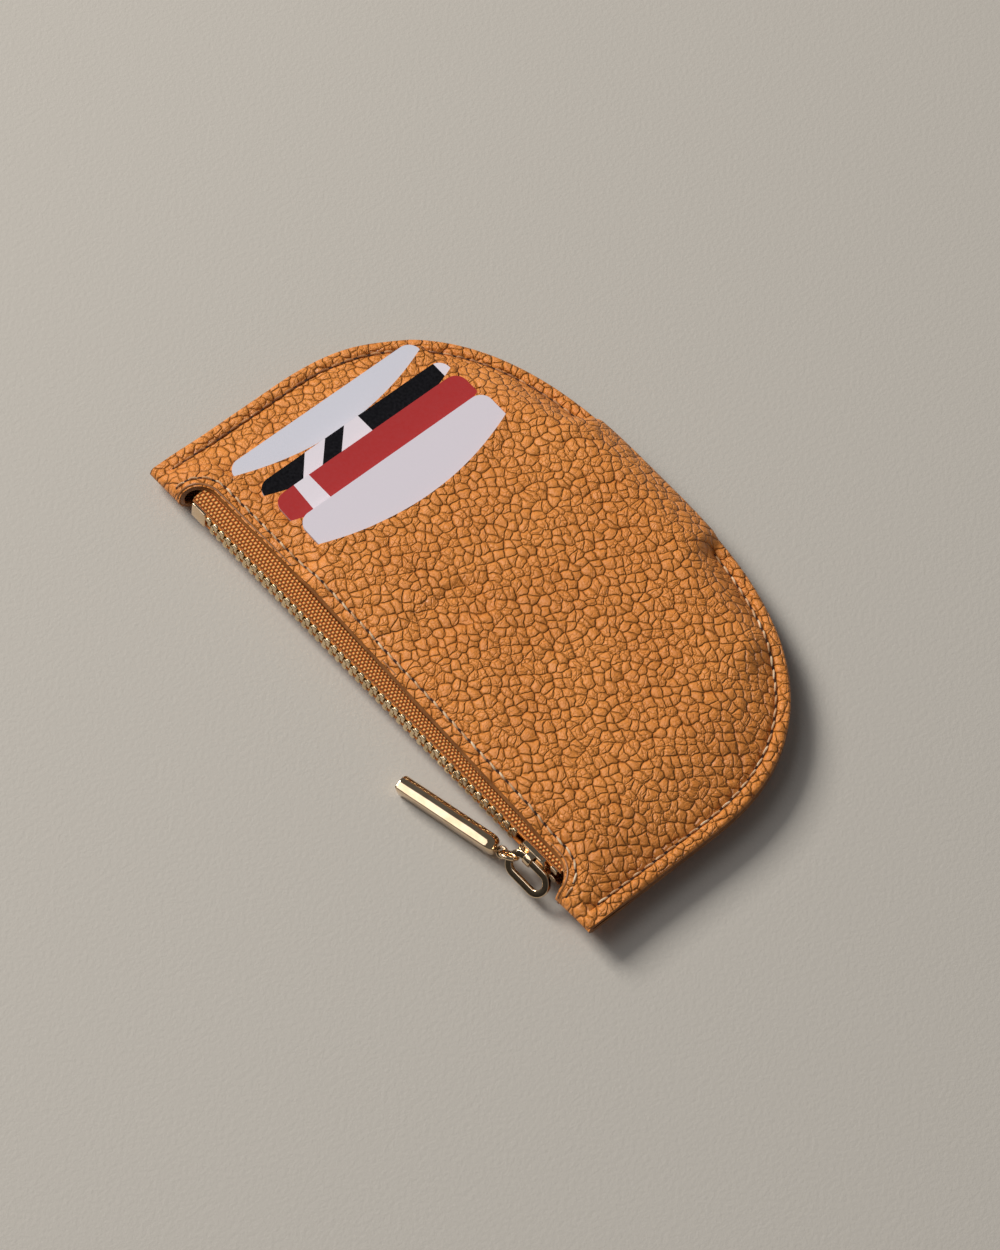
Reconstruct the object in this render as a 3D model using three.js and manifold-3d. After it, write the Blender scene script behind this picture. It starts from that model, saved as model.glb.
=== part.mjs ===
// Half-moon zippered card pouch, in millimetres, +Z up.
// The origin is the middle of the flat that the pouch rests on. +X runs along the zip, +Y away from it.
// Inside this file a point is (x, v, z): v is the distance from the folded zip edge, which the group shifts.
import * as THREE from "three";
import { mergeVertices } from "three/addons/utils/BufferGeometryUtils.js";
import Module from "manifold-3d";

const wasm = await Module();
wasm.setup();

// Outline of the D: straight folded edge, short straight sides, superellipse corners, flat top.
const HALF_LENGTH = 76;
const DEPTH = 86;
const SIDE = 34;
const FLAT_HALF = 5;
const CORNER_POWER = 2.46;
const REST_V = 44; // middle of the rest flat, from the folded edge

// Leather, and the sewn rim where front, divider and back meet.
const LEATHER = 0.8;
const RIM_HALF = 1.5;
const RIM_WIDTH = 3.4;
const RIM_Z = 5.25;
const RIM_TILT = 0.0204;
const FOLD_Z = 5.2;
const FOLD_FRONT = 4.7; // leaf height over the middle of the fold, and below it at the back
const FOLD_BACK = 4.2;
const FOLD_ROUND = 5;

// Zip window cut along the fold.
const WINDOW_END = 64.5;
const WINDOW_V = 5.6;

// Cards and the four curved slits.
const CARD = { length: 85.6, width: 53.98, thick: 0.76, corner: 3.18 };
const CLEAR = 0.1;
const CARD_STEP = CARD.thick + LEATHER + 2 * CLEAR;
const CARD_STACK = 1.35; // level step at the inner ends
const CARD_Z = 7.1;
const SLIT_X = [-61.6, -52.2, -42.4, -32.8];
const SLIT_V = [38.7, 40.2, 40.2, 40.6];
const CARD_SHOWS = [2.7, 2.9, 6.6, 7.6];
const SLIT_HALF = 27.8;
const SLIT_FULL = 27.2;
const SLIT_BOW = 6.2;
const SLIT_GAP = 0.2;

// Zip chain, turned to face up and outwards.
const CHAIN = { v: 2.3, z: 5.7, turn: THREE.MathUtils.degToRad(8), slope: THREE.MathUtils.degToRad(1.8) };
const TOOTH = { pitch: 2.3, wide: 0.95, foot: 1.35, half: 0.8, reach: 2, past: 0.7 };
const CHAIN_START = -56.4;
const CHAIN_END = 49.2;
const TAPE = 0.5;
const TAPE_END = 62;

// Slider and pull.
const SLIDER_X = 54.9;
const SLIDER = { length: 8.6, half: 2.7, inner: 1, plate: 0.9, flange: 0.45 };
const LINK = { straight: 5.8, round: 2.45, wire: 0.6, off: 1.6 };
const LOOP = { radius: 1.9, wire: 0.42 };
const BAR = { length: 28, high: 2.1, front: 1.5, back: 2.2 };

const LEATHER_LOOK = { color: "#b6713a", roughness: 0.62, metalness: 0 };
const LINING_LOOK = { color: "#8a5a34", roughness: 0.9, metalness: 0 };
const THREAD_LOOK = { color: "#e0bd93", roughness: 0.8, metalness: 0 };
const TAPE_LOOK = { color: "#c7702a", roughness: 0.9, metalness: 0 };
const METAL_LOOK = { color: "#d8c39a", roughness: 0.22, metalness: 1 };

const pouch = new THREE.Group();
pouch.position.y = -REST_V;

const clamp01 = (t) => Math.min(1, Math.max(0, t));
const lerp = THREE.MathUtils.lerp;
const smooth = (t, from, to) => THREE.MathUtils.smoothstep(t, from, to);

function addNode(name, geometry, look, place = (mesh) => mesh) {
  const mesh = new THREE.Mesh(geometry, new THREE.MeshStandardMaterial(look));
  mesh.name = name;
  place(mesh);
  pouch.add(mesh);
}

function solidOf(geometry) {
  const bare = geometry.clone();
  bare.deleteAttribute("normal");
  bare.deleteAttribute("uv");
  const merged = mergeVertices(bare, 1e-4);
  return new wasm.Manifold(
    new wasm.Mesh({
      numProp: 3,
      vertProperties: merged.attributes.position.array,
      triVerts: new Uint32Array(merged.index.array),
    }),
  );
}

function geometryOf(solid) {
  const mesh = solid.getMesh();
  return new THREE.BufferGeometry()
    .setAttribute("position", new THREE.BufferAttribute(mesh.vertProperties, 3))
    .setIndex(new THREE.BufferAttribute(mesh.triVerts, 1));
}

const joined = (pieces) => geometryOf(pieces.map(solidOf).reduce((whole, piece) => whole.add(piece)));

// ---- Shape of the pouch ----

// Far edge of the outline above a place along the zip.
function farEdge(x) {
  const across = clamp01((Math.abs(x) - FLAT_HALF) / (HALF_LENGTH - FLAT_HALF));
  return SIDE + (DEPTH - SIDE) * (1 - across ** CORNER_POWER) ** (1 / CORNER_POWER);
}

// Distance in from the sides and the curved edge; the folded edge doesn't count.
function inFromRim(x, v) {
  const across = Math.max(0, Math.abs(x) - FLAT_HALF);
  const up = Math.max(0, v - SIDE);
  const whole = (across / (HALF_LENGTH - FLAT_HALF)) ** CORNER_POWER + (up / (DEPTH - SIDE)) ** CORNER_POWER;
  const share = whole ** (1 / CORNER_POWER);
  return share < 1e-6 ? DEPTH - SIDE : (1 / share - 1) * Math.hypot(across, up);
}

const rimZ = (x) => RIM_Z + RIM_TILT * x;
const foldZ = (x) => lerp(FOLD_Z, rimZ(x), smooth(Math.abs(x), WINDOW_END - 4, HALF_LENGTH));
const foldHalf = (x, up) => {
  const drop = smooth(Math.abs(x), WINDOW_END - 2, HALF_LENGTH - 1) ** 1.4;
  return lerp(up > 0 ? FOLD_FRONT : FOLD_BACK, RIM_HALF, drop);
};
const foldRound = (x) => lerp(FOLD_ROUND, RIM_HALF, smooth(Math.abs(x), WINDOW_END, HALF_LENGTH));
const rounding = (x, v) => Math.sqrt(1 - (1 - clamp01(v / foldRound(x))) ** 2);

function windowV(x) {
  const past = (Math.abs(x) - (WINDOW_END - WINDOW_V)) / WINDOW_V;
  if (past >= 1) return 0;
  return WINDOW_V * Math.sqrt(1 - clamp01(past) ** 2);
}

const slitZ = (k) => CARD_Z + CARD_STEP * k;
const cardLeft = (k) => SLIT_X[k] - CARD_SHOWS[k];
const cardRight = (k) => cardLeft(k) + CARD.length;
const cardTilt = (k) => Math.atan2((CARD_STEP - CARD_STACK) * k, cardRight(k) - SLIT_X[k]);
const cardZ = (k, x) => slitZ(k) - Math.tan(cardTilt(k)) * (x - SLIT_X[k]);
const OVER_CARD = CARD.thick / 2 + CLEAR + LEATHER;
const UNDER_CARD = -CARD.thick / 2 - CLEAR;

// Leaf height over the stack of cards: stepHeight has a step at each slit, rampHeight is one smooth ramp.
// x is the place along the zip with the bow of the slits taken out.
function stepHeight(x, side) {
  const passed = SLIT_X.filter((slit) => x > slit || (x === slit && side > 0)).length;
  if (passed === 0) return slitZ(0) + UNDER_CARD;
  if (passed < SLIT_X.length) return slitZ(passed - 1) + OVER_CARD;
  return cardZ(3, x) + OVER_CARD;
}

function rampHeight(x) {
  const slope = (slitZ(3) - slitZ(0)) / (SLIT_X[3] - SLIT_X[0]);
  const ramp = slitZ(0) + 0.5 + slope * (x - SLIT_X[0]);
  return Math.min(ramp, cardZ(3, x) + OVER_CARD + 0.7 * Math.cos((x - 8) / 40));
}

// Outer height of the front leaf. column is x with the bow of the slits taken out, side is -1 or 1 at a slit.
function frontZ(x, v, column = x, side = 0) {
  const flange = rimZ(x) + RIM_HALF;
  const d = inFromRim(x, v);
  const rise = 1 - (1 - clamp01((d - RIM_WIDTH) / 11)) ** 2;
  const main = lerp(flange, Math.max(flange, rampHeight(column)), rise);
  const zipSide = foldZ(x) + foldHalf(x, 1) * rounding(x, v);
  const eased = lerp(zipSide, main, smooth(v, WINDOW_V, 17));
  const off = Math.abs(v - slitMiddle(column));
  const hold = 1 - clamp01((off - SLIT_FULL) / (SLIT_HALF - SLIT_FULL));
  const step = stepHeight(column, side);
  const beforeSlits = column < SLIT_X[0] || (column === SLIT_X[0] && side < 0);
  if (beforeSlits) return lerp(eased, Math.min(eased, step), hold * smooth(column, -72, -67));
  const afterCards = smooth(column, cardRight(3) + 0.5, cardRight(3) + 7);
  const pastSlits = column > SLIT_X[3] || (column === SLIT_X[3] && side > 0);
  return lerp(eased, pastSlits ? Math.max(step, eased) : step, hold * (1 - afterCards));
}

// Outer height of the back leaf, flat on the table in the middle.
function backZ(x, v) {
  const flange = rimZ(x) - RIM_HALF;
  const rise = 1 - (1 - clamp01((inFromRim(x, v) - RIM_WIDTH) / 20)) ** 3;
  const main = flange * (1 - rise);
  const zipSide = foldZ(x) - foldHalf(x, -1) * rounding(x, v);
  return Math.max(0, lerp(zipSide, main, smooth(v, WINDOW_V, 15)));
}

// Middle of the slits across the pouch, for a place along them.
function slitMiddle(x) {
  const last = SLIT_X.length - 1;
  if (x <= SLIT_X[0]) return SLIT_V[0];
  if (x >= SLIT_X[last]) return SLIT_V[last];
  const k = SLIT_X.findIndex((slit) => slit > x) - 1;
  return lerp(SLIT_V[k], SLIT_V[k + 1], (x - SLIT_X[k]) / (SLIT_X[k + 1] - SLIT_X[k]));
}

// ---- Sheets made on a grid of columns along the zip and rows across it ----

// cells: [[corner, corner, corner, corner]] with corner = { key, outer, inner }; walls close every open edge.
function sheetGeometry(cells) {
  const points = [];
  const triangles = [];
  const seen = new Map();
  const at = (key, point) => {
    if (!seen.has(key)) {
      seen.set(key, points.length / 3);
      points.push(...point);
    }
    return seen.get(key);
  };
  const edges = new Map();
  for (const cell of cells) {
    const outer = cell.map((corner) => at("o" + corner.key, corner.outer));
    const inner = cell.map((corner) => at("i" + corner.key, corner.inner));
    for (const [a, b, c] of [[0, 1, 2], [0, 2, 3]]) {
      triangles.push(outer[a], outer[b], outer[c], inner[c], inner[b], inner[a]);
    }
    cell.forEach((corner, i) => {
      const next = (i + 1) % cell.length;
      const back = cell[next].key + "|" + corner.key;
      if (edges.has(back)) edges.delete(back);
      else edges.set(corner.key + "|" + cell[next].key, [outer[i], outer[next], inner[next], inner[i]]);
    });
  }
  for (const [a, b, c, d] of edges.values()) triangles.push(b, a, d, b, d, c);
  const geometry = new THREE.BufferGeometry();
  geometry.setAttribute("position", new THREE.Float32BufferAttribute(points, 3));
  geometry.setIndex(triangles);
  return geometry;
}

// A flat-grid sheet: top(x, v) and bottom(x, v) over columns xs and rows from vsAt(x).
function layerGeometry(xs, vsAt, top, bottom) {
  const corner = (i, j) => {
    const v = vsAt(xs[i])[j];
    return { key: i + "," + j, outer: [xs[i], v, top(xs[i], v)], inner: [xs[i], v, bottom(xs[i], v)] };
  };
  const cells = [];
  const rows = vsAt(xs[0]).length;
  for (let i = 0; i + 1 < xs.length; i++) {
    for (let j = 0; j + 1 < rows; j++) {
      cells.push([corner(i, j), corner(i + 1, j), corner(i + 1, j + 1), corner(i, j + 1)]);
    }
  }
  return sheetGeometry(cells);
}

const SIDE_COLUMNS = [76, 75.6, 74.6, 73, 70.5, 67.5, 64.5];
const COLUMNS = [
  ...SIDE_COLUMNS.map((x) => -x), -63.2,
  ...SLIT_X.flatMap((x, k) => (k < 3 ? [x, (x + SLIT_X[k + 1]) / 2] : [x])),
  -27, -20, -10, 0, 10, 20, 30, 38, 44, 50, 54, 58, 60.5, 62.8,
  ...SIDE_COLUMNS.slice().reverse(),
];
const BAND = [-SLIT_HALF, -SLIT_FULL, -20, -11, 0, 11, 20, SLIT_FULL, SLIT_HALF];
const NEAR_SHARES = [0, 0.06, 0.16, 0.32, 0.6];
const FAR_SHARES = [0.3, 0.62, 0.82, 1];

// Rows of the front leaf above one column, from the fold or window out to the far edge.
function frontRows(x) {
  const far = farEdge(x);
  const middle = slitMiddle(x);
  const low = Math.min(middle - SLIT_HALF, far * 0.3);
  const high = Math.min(middle + SLIT_HALF, far - 4);
  const start = windowV(x);
  return [
    ...NEAR_SHARES.map((share) => lerp(start, low, share)),
    ...BAND.map((off) => lerp(low, high, (off + SLIT_HALF) / (2 * SLIT_HALF))),
    ...FAR_SHARES.map((share) => lerp(high, far, share)),
  ];
}

function backRows(x) {
  const far = farEdge(x);
  const start = windowV(x);
  return [0, 0.015, 0.045, 0.09, 0.17, 0.3, 0.5, 0.7, 0.85, 0.95, 1].map((share) => lerp(start, far, share));
}

// The back leaf rests on one low spot under each quarter, and stands clear of the table between them.
const REST_CLEAR = 0.2;
const REST_COLUMNS = [(SLIT_X[0] + SLIT_X[1]) / 2, 44];
const REST_ROWS = [5, 7];
const clearOfTable = (i, j, z) =>
  REST_COLUMNS.includes(COLUMNS[i]) && REST_ROWS.includes(j) ? 0 : REST_CLEAR * clamp01(1 - z / 2);

const bowAt = (x, v) => {
  const off = (v - slitMiddle(x)) / SLIT_HALF;
  if (Math.abs(off) >= 1) return 0;
  const fade = x < SLIT_X[0] ? smooth(x, -75, SLIT_X[0]) : 1 - smooth(x, SLIT_X[3], 25);
  return SLIT_BOW * (1 - off * off) * fade;
};

// One piece of leather folded round the zip edge: front leaf, fold corners, back leaf, window and slits.
function outerLeather() {
  const firstBand = NEAR_SHARES.length;
  const lastBand = firstBand + BAND.length - 1;
  const inWindow = (i) => Math.abs(COLUMNS[i]) < WINDOW_END;
  const inner = (x, v, z, up) => {
    const round = foldRound(x);
    if (v >= round || windowV(x) > 0) return [x, v, z - up * LEATHER];
    const middle = foldZ(x);
    const half = Math.abs(z - middle);
    const shrink = (foldHalf(x, up) - LEATHER) / foldHalf(x, up);
    return [x, round - (round - v) * ((round - LEATHER) / round), middle + up * half * shrink];
  };
  const front = (i, j, side) => {
    const column = COLUMNS[i];
    const v = frontRows(column)[j];
    const slit = SLIT_X.indexOf(column) >= 0 && j > firstBand && j < lastBand;
    const bow = bowAt(column, v);
    const x = column + bow + (slit ? side * SLIT_GAP : 0);
    const z = frontZ(column + bow, v, column, slit ? side : 0);
    const shared = j === 0 && !inWindow(i);
    const key = shared ? "fold" + i : "f" + i + "," + j + (slit ? "," + side : "");
    return { key, outer: [x, v, z], inner: inner(x, v, z, 1) };
  };
  const back = (i, j) => {
    const x = COLUMNS[i];
    const v = backRows(x)[j];
    if (j === 0 && !inWindow(i)) return front(i, 0, 0);
    const z = backZ(x, v);
    return { key: "b" + i + "," + j, outer: [x, v, z + clearOfTable(i, j, z)], inner: inner(x, v, z, -1) };
  };
  const cells = [];
  for (let i = 0; i + 1 < COLUMNS.length; i++) {
    for (let j = 0; j + 1 < frontRows(0).length; j++) {
      cells.push([front(i, j, 1), front(i + 1, j, -1), front(i + 1, j + 1, -1), front(i, j + 1, 1)]);
    }
    for (let j = 0; j + 1 < backRows(0).length; j++) {
      cells.push([back(i, j), back(i, j + 1), back(i + 1, j + 1), back(i + 1, j)]);
    }
  }
  return sheetGeometry(cells);
}

// ---- Inner sheets ----

const insetColumns = (inset) => COLUMNS.map((x) => (x * (HALF_LENGTH - inset)) / HALF_LENGTH);

// A panel that follows the D, inset from its rim, between two heights.
function panel(inset, from, top, bottom) {
  const scale = HALF_LENGTH / (HALF_LENGTH - inset);
  const rows = (x) => {
    const far = farEdge(x * scale) - inset * 1.2;
    return [0, 0.2, 0.45, 0.7, 0.88, 1].map((share) => lerp(from, far, share));
  };
  return layerGeometry(insetColumns(inset), rows, top, bottom);
}

function innerSheets() {
  const plate = (z, thick) => [(x) => rimZ(x) + z + thick / 2, (x) => rimZ(x) + z - thick / 2];
  addNode("slip_pocket_divider", panel(0.5, 10.5, ...plate(0, 0.6)), LEATHER_LOOK);
  addNode("compartment_front_lining", panel(7, 11.5, ...plate(-0.7, 0.25)), LINING_LOOK);
  const overBack = (x, v) => backZ(x, v) + LEATHER + 0.55;
  addNode("compartment_back_lining", panel(9, 11.5, (x, v) => overBack(x, v) + 0.25, overBack), LINING_LOOK);
  SLIT_X.forEach((slit, k) => {
    const length = cardRight(k) - slit - SLIT_BOW - 1;
    const sheet = new THREE.BoxGeometry(length, CARD.width + 0.6, 0.2);
    addNode("card_pocket_lining_" + (k + 1), sheet, LINING_LOOK, (mesh) => {
      const x = cardRight(k) + 0.4 - length / 2;
      mesh.rotation.y = cardTilt(k);
      mesh.position.set(x, SLIT_V[k], cardZ(k, x) - 0.6);
    });
  });
}

// ---- Cards ----

function cardGeometry() {
  const { length, width, thick, corner } = CARD;
  const shape = new THREE.Shape();
  const corners = [[1, 1, 0], [-1, 1, 1], [-1, -1, 2], [1, -1, 3]];
  for (const [sx, sy, quarter] of corners) {
    const start = (quarter * Math.PI) / 2;
    const centre = [sx * (length / 2 - corner), sy * (width / 2 - corner)];
    shape.absarc(...centre, corner, start, start + Math.PI / 2, false);
  }
  const geometry = new THREE.ExtrudeGeometry(shape, { depth: thick, bevelEnabled: false, curveSegments: 6 });
  return geometry.translate(0, 0, -thick / 2);
}

const CARD_COLOURS = ["#c4c4cc", "#141317", "#a63a3b", "#ccc7ce"];

function cards() {
  CARD_COLOURS.forEach((color, k) => {
    addNode("card_" + (k + 1), cardGeometry(), { color, roughness: 0.4, metalness: 0 }, (mesh) => {
      const x = cardLeft(k) + CARD.length / 2;
      mesh.rotation.y = cardTilt(k);
      mesh.position.set(x, SLIT_V[k], cardZ(k, x));
    });
  });
}

// ---- Zip ----

const across = new THREE.Vector2(Math.sin(CHAIN.turn), Math.cos(CHAIN.turn));
const outwards = new THREE.Vector2(-Math.cos(CHAIN.turn), Math.sin(CHAIN.turn));
const chainPoint = (u, w) => [
  CHAIN.v + u * across.x + w * outwards.x,
  CHAIN.z + u * across.y + w * outwards.y,
];

// The chain runs slightly aslant, further from the fold towards the closed end.
const slant = new THREE.Matrix4().makeTranslation(0, CHAIN.v, 0)
  .multiply(new THREE.Matrix4().makeRotationZ(CHAIN.slope))
  .multiply(new THREE.Matrix4().makeTranslation(0, -CHAIN.v, 0));
const alongChain = new THREE.Vector3(Math.cos(CHAIN.slope), Math.sin(CHAIN.slope), 0);

// Lays a piece built in chain axes (x, u across the chain, w outwards) into the pouch.
function layOnChain(mesh, x = 0) {
  const basis = new THREE.Matrix4().makeBasis(
    new THREE.Vector3(1, 0, 0),
    new THREE.Vector3(0, across.x, across.y),
    new THREE.Vector3(0, outwards.x, outwards.y),
  ).setPosition(x, CHAIN.v, CHAIN.z).premultiply(slant);
  mesh.setRotationFromMatrix(basis);
  mesh.position.setFromMatrixPosition(basis);
}

const block = (x0, x1, u0, u1, w0, w1) =>
  new THREE.BoxGeometry(x1 - x0, u1 - u0, w1 - w0).translate((x0 + x1) / 2, (u0 + u1) / 2, (w0 + w1) / 2);

// One row of teeth crimped on its corded tape bead; row is 1 for the front, -1 for the back.
function toothRow(row) {
  const span = (from, to) => (row > 0 ? [from, to] : [-to, -from]);
  const pieces = [block(CHAIN_START, CHAIN_END, ...span(1.4, 2.1), -0.4, 0.4)];
  const shift = row > 0 ? 0 : TOOTH.pitch / 2;
  const teeth = Math.floor((CHAIN_END - CHAIN_START - TOOTH.foot - shift) / TOOTH.pitch);
  for (let i = 0; i <= teeth; i++) {
    const x = CHAIN_START + TOOTH.foot / 2 + shift + i * TOOTH.pitch;
    const head = span(-TOOTH.past, 0.9);
    const foot = span(0.7, TOOTH.reach);
    pieces.push(block(x - TOOTH.wide / 2, x + TOOTH.wide / 2, ...head, -TOOTH.half, TOOTH.half));
    pieces.push(block(x - TOOTH.foot / 2, x + TOOTH.foot / 2, ...foot, -TOOTH.half, TOOTH.half));
  }
  return joined(pieces);
}

// A tape is a strip that follows points of its middle line across the pouch, aslant beside the chain.
function tapeStrip(line) {
  const half = TAPE / 2;
  const edge = (sign) =>
    line.map(([v, z], i) => {
      const [v0, z0] = line[Math.max(0, i - 1)];
      const [v1, z1] = line[Math.min(line.length - 1, i + 1)];
      const length = Math.hypot(v1 - v0, z1 - z0);
      const step = (sign * half) / length;
      return new THREE.Vector2(v - step * (z1 - z0), z + step * (v1 - v0));
    });
  const shape = new THREE.Shape([...edge(1), ...edge(-1).reverse()]);
  const strip = new THREE.ExtrudeGeometry(shape, { depth: 2 * TAPE_END, bevelEnabled: false });
  strip.applyMatrix4(new THREE.Matrix4().makeBasis(
    new THREE.Vector3(0, 1, 0), new THREE.Vector3(0, 0, 1), new THREE.Vector3(1, 0, 0),
  )).translate(-TAPE_END, 0, 0);
  const place = strip.getAttribute("position");
  for (let i = 0; i < place.count; i++) {
    const share = clamp01((8 - place.getY(i)) / 4);
    place.setY(i, place.getY(i) + share * place.getX(i) * Math.tan(CHAIN.slope));
  }
  return strip;
}

function zip() {
  addNode("zip_teeth_front_row", toothRow(1), METAL_LOOK, (mesh) => layOnChain(mesh));
  addNode("zip_teeth_back_row", toothRow(-1), METAL_LOOK, (mesh) => layOnChain(mesh));
  const frontLine = [chainPoint(2.42, 0), chainPoint(2.75, 0), [3.4, 8.78], [5.4, 8.7], [9.6, 7.2]];
  const backLine = [chainPoint(-2.42, 0), chainPoint(-2.75, 0), [2.5, 2.4], [3.6, 2.3], [9.6, 2.3]];
  addNode("zip_tape_front", tapeStrip(frontLine), TAPE_LOOK);
  addNode("zip_tape_back", tapeStrip(backLine), TAPE_LOOK);
  addNode("zip_bottom_stop", block(-61.6, -57, -2.2, 2.2, -0.8, 0.8), METAL_LOOK, (mesh) => layOnChain(mesh));
  [["front", 1], ["back", -1]].forEach(([row, sign]) => {
    const span = sign > 0 ? [0.9, 2.1] : [-2.1, -0.9];
    const stop = block(59.4, 61.4, ...span, -0.8, 0.8);
    addNode("zip_top_stop_" + row, stop, METAL_LOOK, (mesh) => layOnChain(mesh));
  });
}

// ---- Slider and pull ----

function sliderPlate(sign) {
  const { length, half, inner, plate, flange } = SLIDER;
  const outline = new THREE.Shape();
  const round = 2;
  outline.absarc(length / 2 - round, half - round, round, 0, Math.PI / 2, false);
  outline.absarc(-length / 2 + round, half - round, round, Math.PI / 2, Math.PI, false);
  outline.absarc(-length / 2 + round, -half + round, round, Math.PI, 1.5 * Math.PI, false);
  outline.absarc(length / 2 - round, -half + round, round, 1.5 * Math.PI, 2 * Math.PI, false);
  const cover = new THREE.ExtrudeGeometry(outline, { depth: plate, bevelEnabled: false, curveSegments: 6 });
  cover.translate(0, 0, sign > 0 ? inner : -inner - plate);
  const depth = sign > 0 ? [inner - flange, inner + 0.3] : [-inner - 0.3, flange - inner];
  const rail = (u0, u1) => block(-length / 2 + 1.2, length / 2 - 1.2, u0, u1, ...depth);
  return [cover, rail(half - 0.38, half - 0.02), rail(-half + 0.02, -half + 0.38)];
}

// The crown is a low arch across the chain; the link ring lies under it, along the zip.
const CROWN = { u: 0.9, wide: 2.4 };
function crown() {
  const base = SLIDER.inner + SLIDER.plate;
  const arch = new THREE.Shape();
  arch.moveTo(-1.75, base - 0.2);
  arch.lineTo(-1.75, base + 0.8);
  arch.absarc(0, base + 0.8, 1.75, Math.PI, 0, true);
  arch.lineTo(1.75, base - 0.2);
  arch.lineTo(0.95, base - 0.2);
  arch.lineTo(0.95, base + 0.8);
  arch.absarc(0, base + 0.8, 0.95, 0, Math.PI, false);
  arch.lineTo(-0.95, base - 0.2);
  const extent = { depth: CROWN.wide, bevelEnabled: false, curveSegments: 10 };
  const solid = new THREE.ExtrudeGeometry(arch, extent);
  return solid.applyMatrix4(new THREE.Matrix4().makeBasis(
    new THREE.Vector3(0, 1, 0), new THREE.Vector3(0, 0, 1), new THREE.Vector3(1, 0, 0),
  )).translate(-CROWN.wide / 2, CROWN.u, 0);
}

class Ring extends THREE.Curve {
  // A stadium ring in its own XY plane: round ends of radius r, straight sides of length s.
  constructor(s, r) {
    super();
    this.s = s;
    this.r = r;
  }
  getPoint(t, target = new THREE.Vector3()) {
    const { s, r } = this;
    const half = Math.PI * r;
    let way = ((t % 1) + 1) % 1 * (2 * s + 2 * half);
    if (way < s) return target.set(-s / 2 + way, -r, 0);
    way -= s;
    if (way < half) return target.set(s / 2 + r * Math.sin(way / r), -r * Math.cos(way / r), 0);
    way -= half;
    if (way < s) return target.set(s / 2 - way, r, 0);
    way -= s;
    return target.set(-s / 2 - r * Math.sin(way / r), r * Math.cos(way / r), 0);
  }
}

function wireRing(straight, round, wire, steps) {
  const section = new THREE.Shape();
  section.absarc(0, 0, wire, 0, 2 * Math.PI, false);
  const path = new Ring(straight, round);
  const points = section.getPoints(10).slice(0, -1);
  const ring = [];
  const count = points.length;
  for (let i = 0; i < steps; i++) {
    const place = path.getPoint(i / steps);
    const ahead = path.getPoint((i + 0.01) / steps);
    const along = ahead.sub(place).normalize();
    const side = new THREE.Vector3(along.y, -along.x, 0);
    points.forEach(({ x, y }) => ring.push(place.x + side.x * x, place.y + side.y * x, y));
  }
  const triangles = [];
  for (let i = 0; i < steps; i++) {
    const next = (i + 1) % steps;
    for (let j = 0; j < count; j++) {
      const up = (j + 1) % count;
      triangles.push(i * count + j, next * count + j, next * count + up);
      triangles.push(i * count + j, next * count + up, i * count + up);
    }
  }
  const geometry = new THREE.BufferGeometry();
  geometry.setAttribute("position", new THREE.Float32BufferAttribute(ring, 3));
  geometry.setIndex(triangles);
  return geometry;
}

// Places of the pull: the link hangs from the crown, the loop from the link, the bar from the loop.
const HINGE = new THREE.Vector3(SLIDER_X, ...chainPoint(CROWN.u, SLIDER.inner + SLIDER.plate + 0.85))
  .applyMatrix4(slant);
const LINK_DOWN = new THREE.Vector3(0, -0.7, -Math.sqrt(1 - 0.7 ** 2)).transformDirection(slant);
const LINK_MIDDLE = HINGE.clone().addScaledVector(LINK_DOWN, LINK.round)
  .addScaledVector(alongChain, LINK.off);
const LINK_END = LINK_MIDDLE.clone().addScaledVector(alongChain, -LINK.straight / 2 - LINK.round);
const LOOP_WAY = new THREE.Vector3(-0.93, -0.25, -0.27).normalize();
const LOOP_SIDE = new THREE.Vector3(0, 0.714, -0.7);
const LOOP_MIDDLE = LINK_END.clone().addScaledVector(LOOP_WAY, 0.6);
const BAR_EYE = LOOP_MIDDLE.clone().addScaledVector(LOOP_WAY, LOOP.radius);
const BAR_WAY = new THREE.Vector3(-28.1, -6.2, -1.8).normalize();
const EYE_TURN = Math.atan2(-LOOP_SIDE.z, LOOP_SIDE.y);

function basisOf(first, second) {
  const x = first.clone().normalize();
  const z = x.clone().cross(second).normalize();
  const y = z.clone().cross(x);
  return new THREE.Matrix4().makeBasis(x, y, z);
}

// The bar lies along its own x: a D section with its flat outwards, a rounded end and an eye.
function barGeometry() {
  const { length, high, front, back } = BAR;
  const section = new THREE.Shape();
  section.moveTo(-front, -high * 0.86);
  section.lineTo(-front, high * 0.86);
  section.absellipse(-0.1, 0, back, high, Math.PI * 0.62, -Math.PI * 0.62, true);
  const edge = { bevelSize: 0.35, bevelThickness: 0.35, bevelOffset: -0.35, bevelSegments: 2 };
  const body = new THREE.ExtrudeGeometry(section, { depth: length - 3.4, curveSegments: 14, ...edge });
  body.applyMatrix4(new THREE.Matrix4().makeBasis(
    new THREE.Vector3(0, 1, 0), new THREE.Vector3(0, 0, 1), new THREE.Vector3(1, 0, 0),
  )).translate(3.4, 0, 0);
  const tab = new THREE.Shape();
  tab.absarc(0, 0, 1.5, Math.PI / 2, 1.5 * Math.PI, false);
  tab.lineTo(3.6, -1.5);
  tab.lineTo(3.6, 1.5);
  const hole = new THREE.Path();
  hole.absarc(0, 0, 0.8, 0, 2 * Math.PI, true);
  tab.holes.push(hole);
  const eye = new THREE.ExtrudeGeometry(tab, { depth: 1.2, bevelEnabled: false, curveSegments: 10 });
  eye.translate(0, 0, -0.6).applyMatrix4(new THREE.Matrix4().makeRotationX(Math.PI / 2 + EYE_TURN));
  return joined([body, eye]);
}

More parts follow.
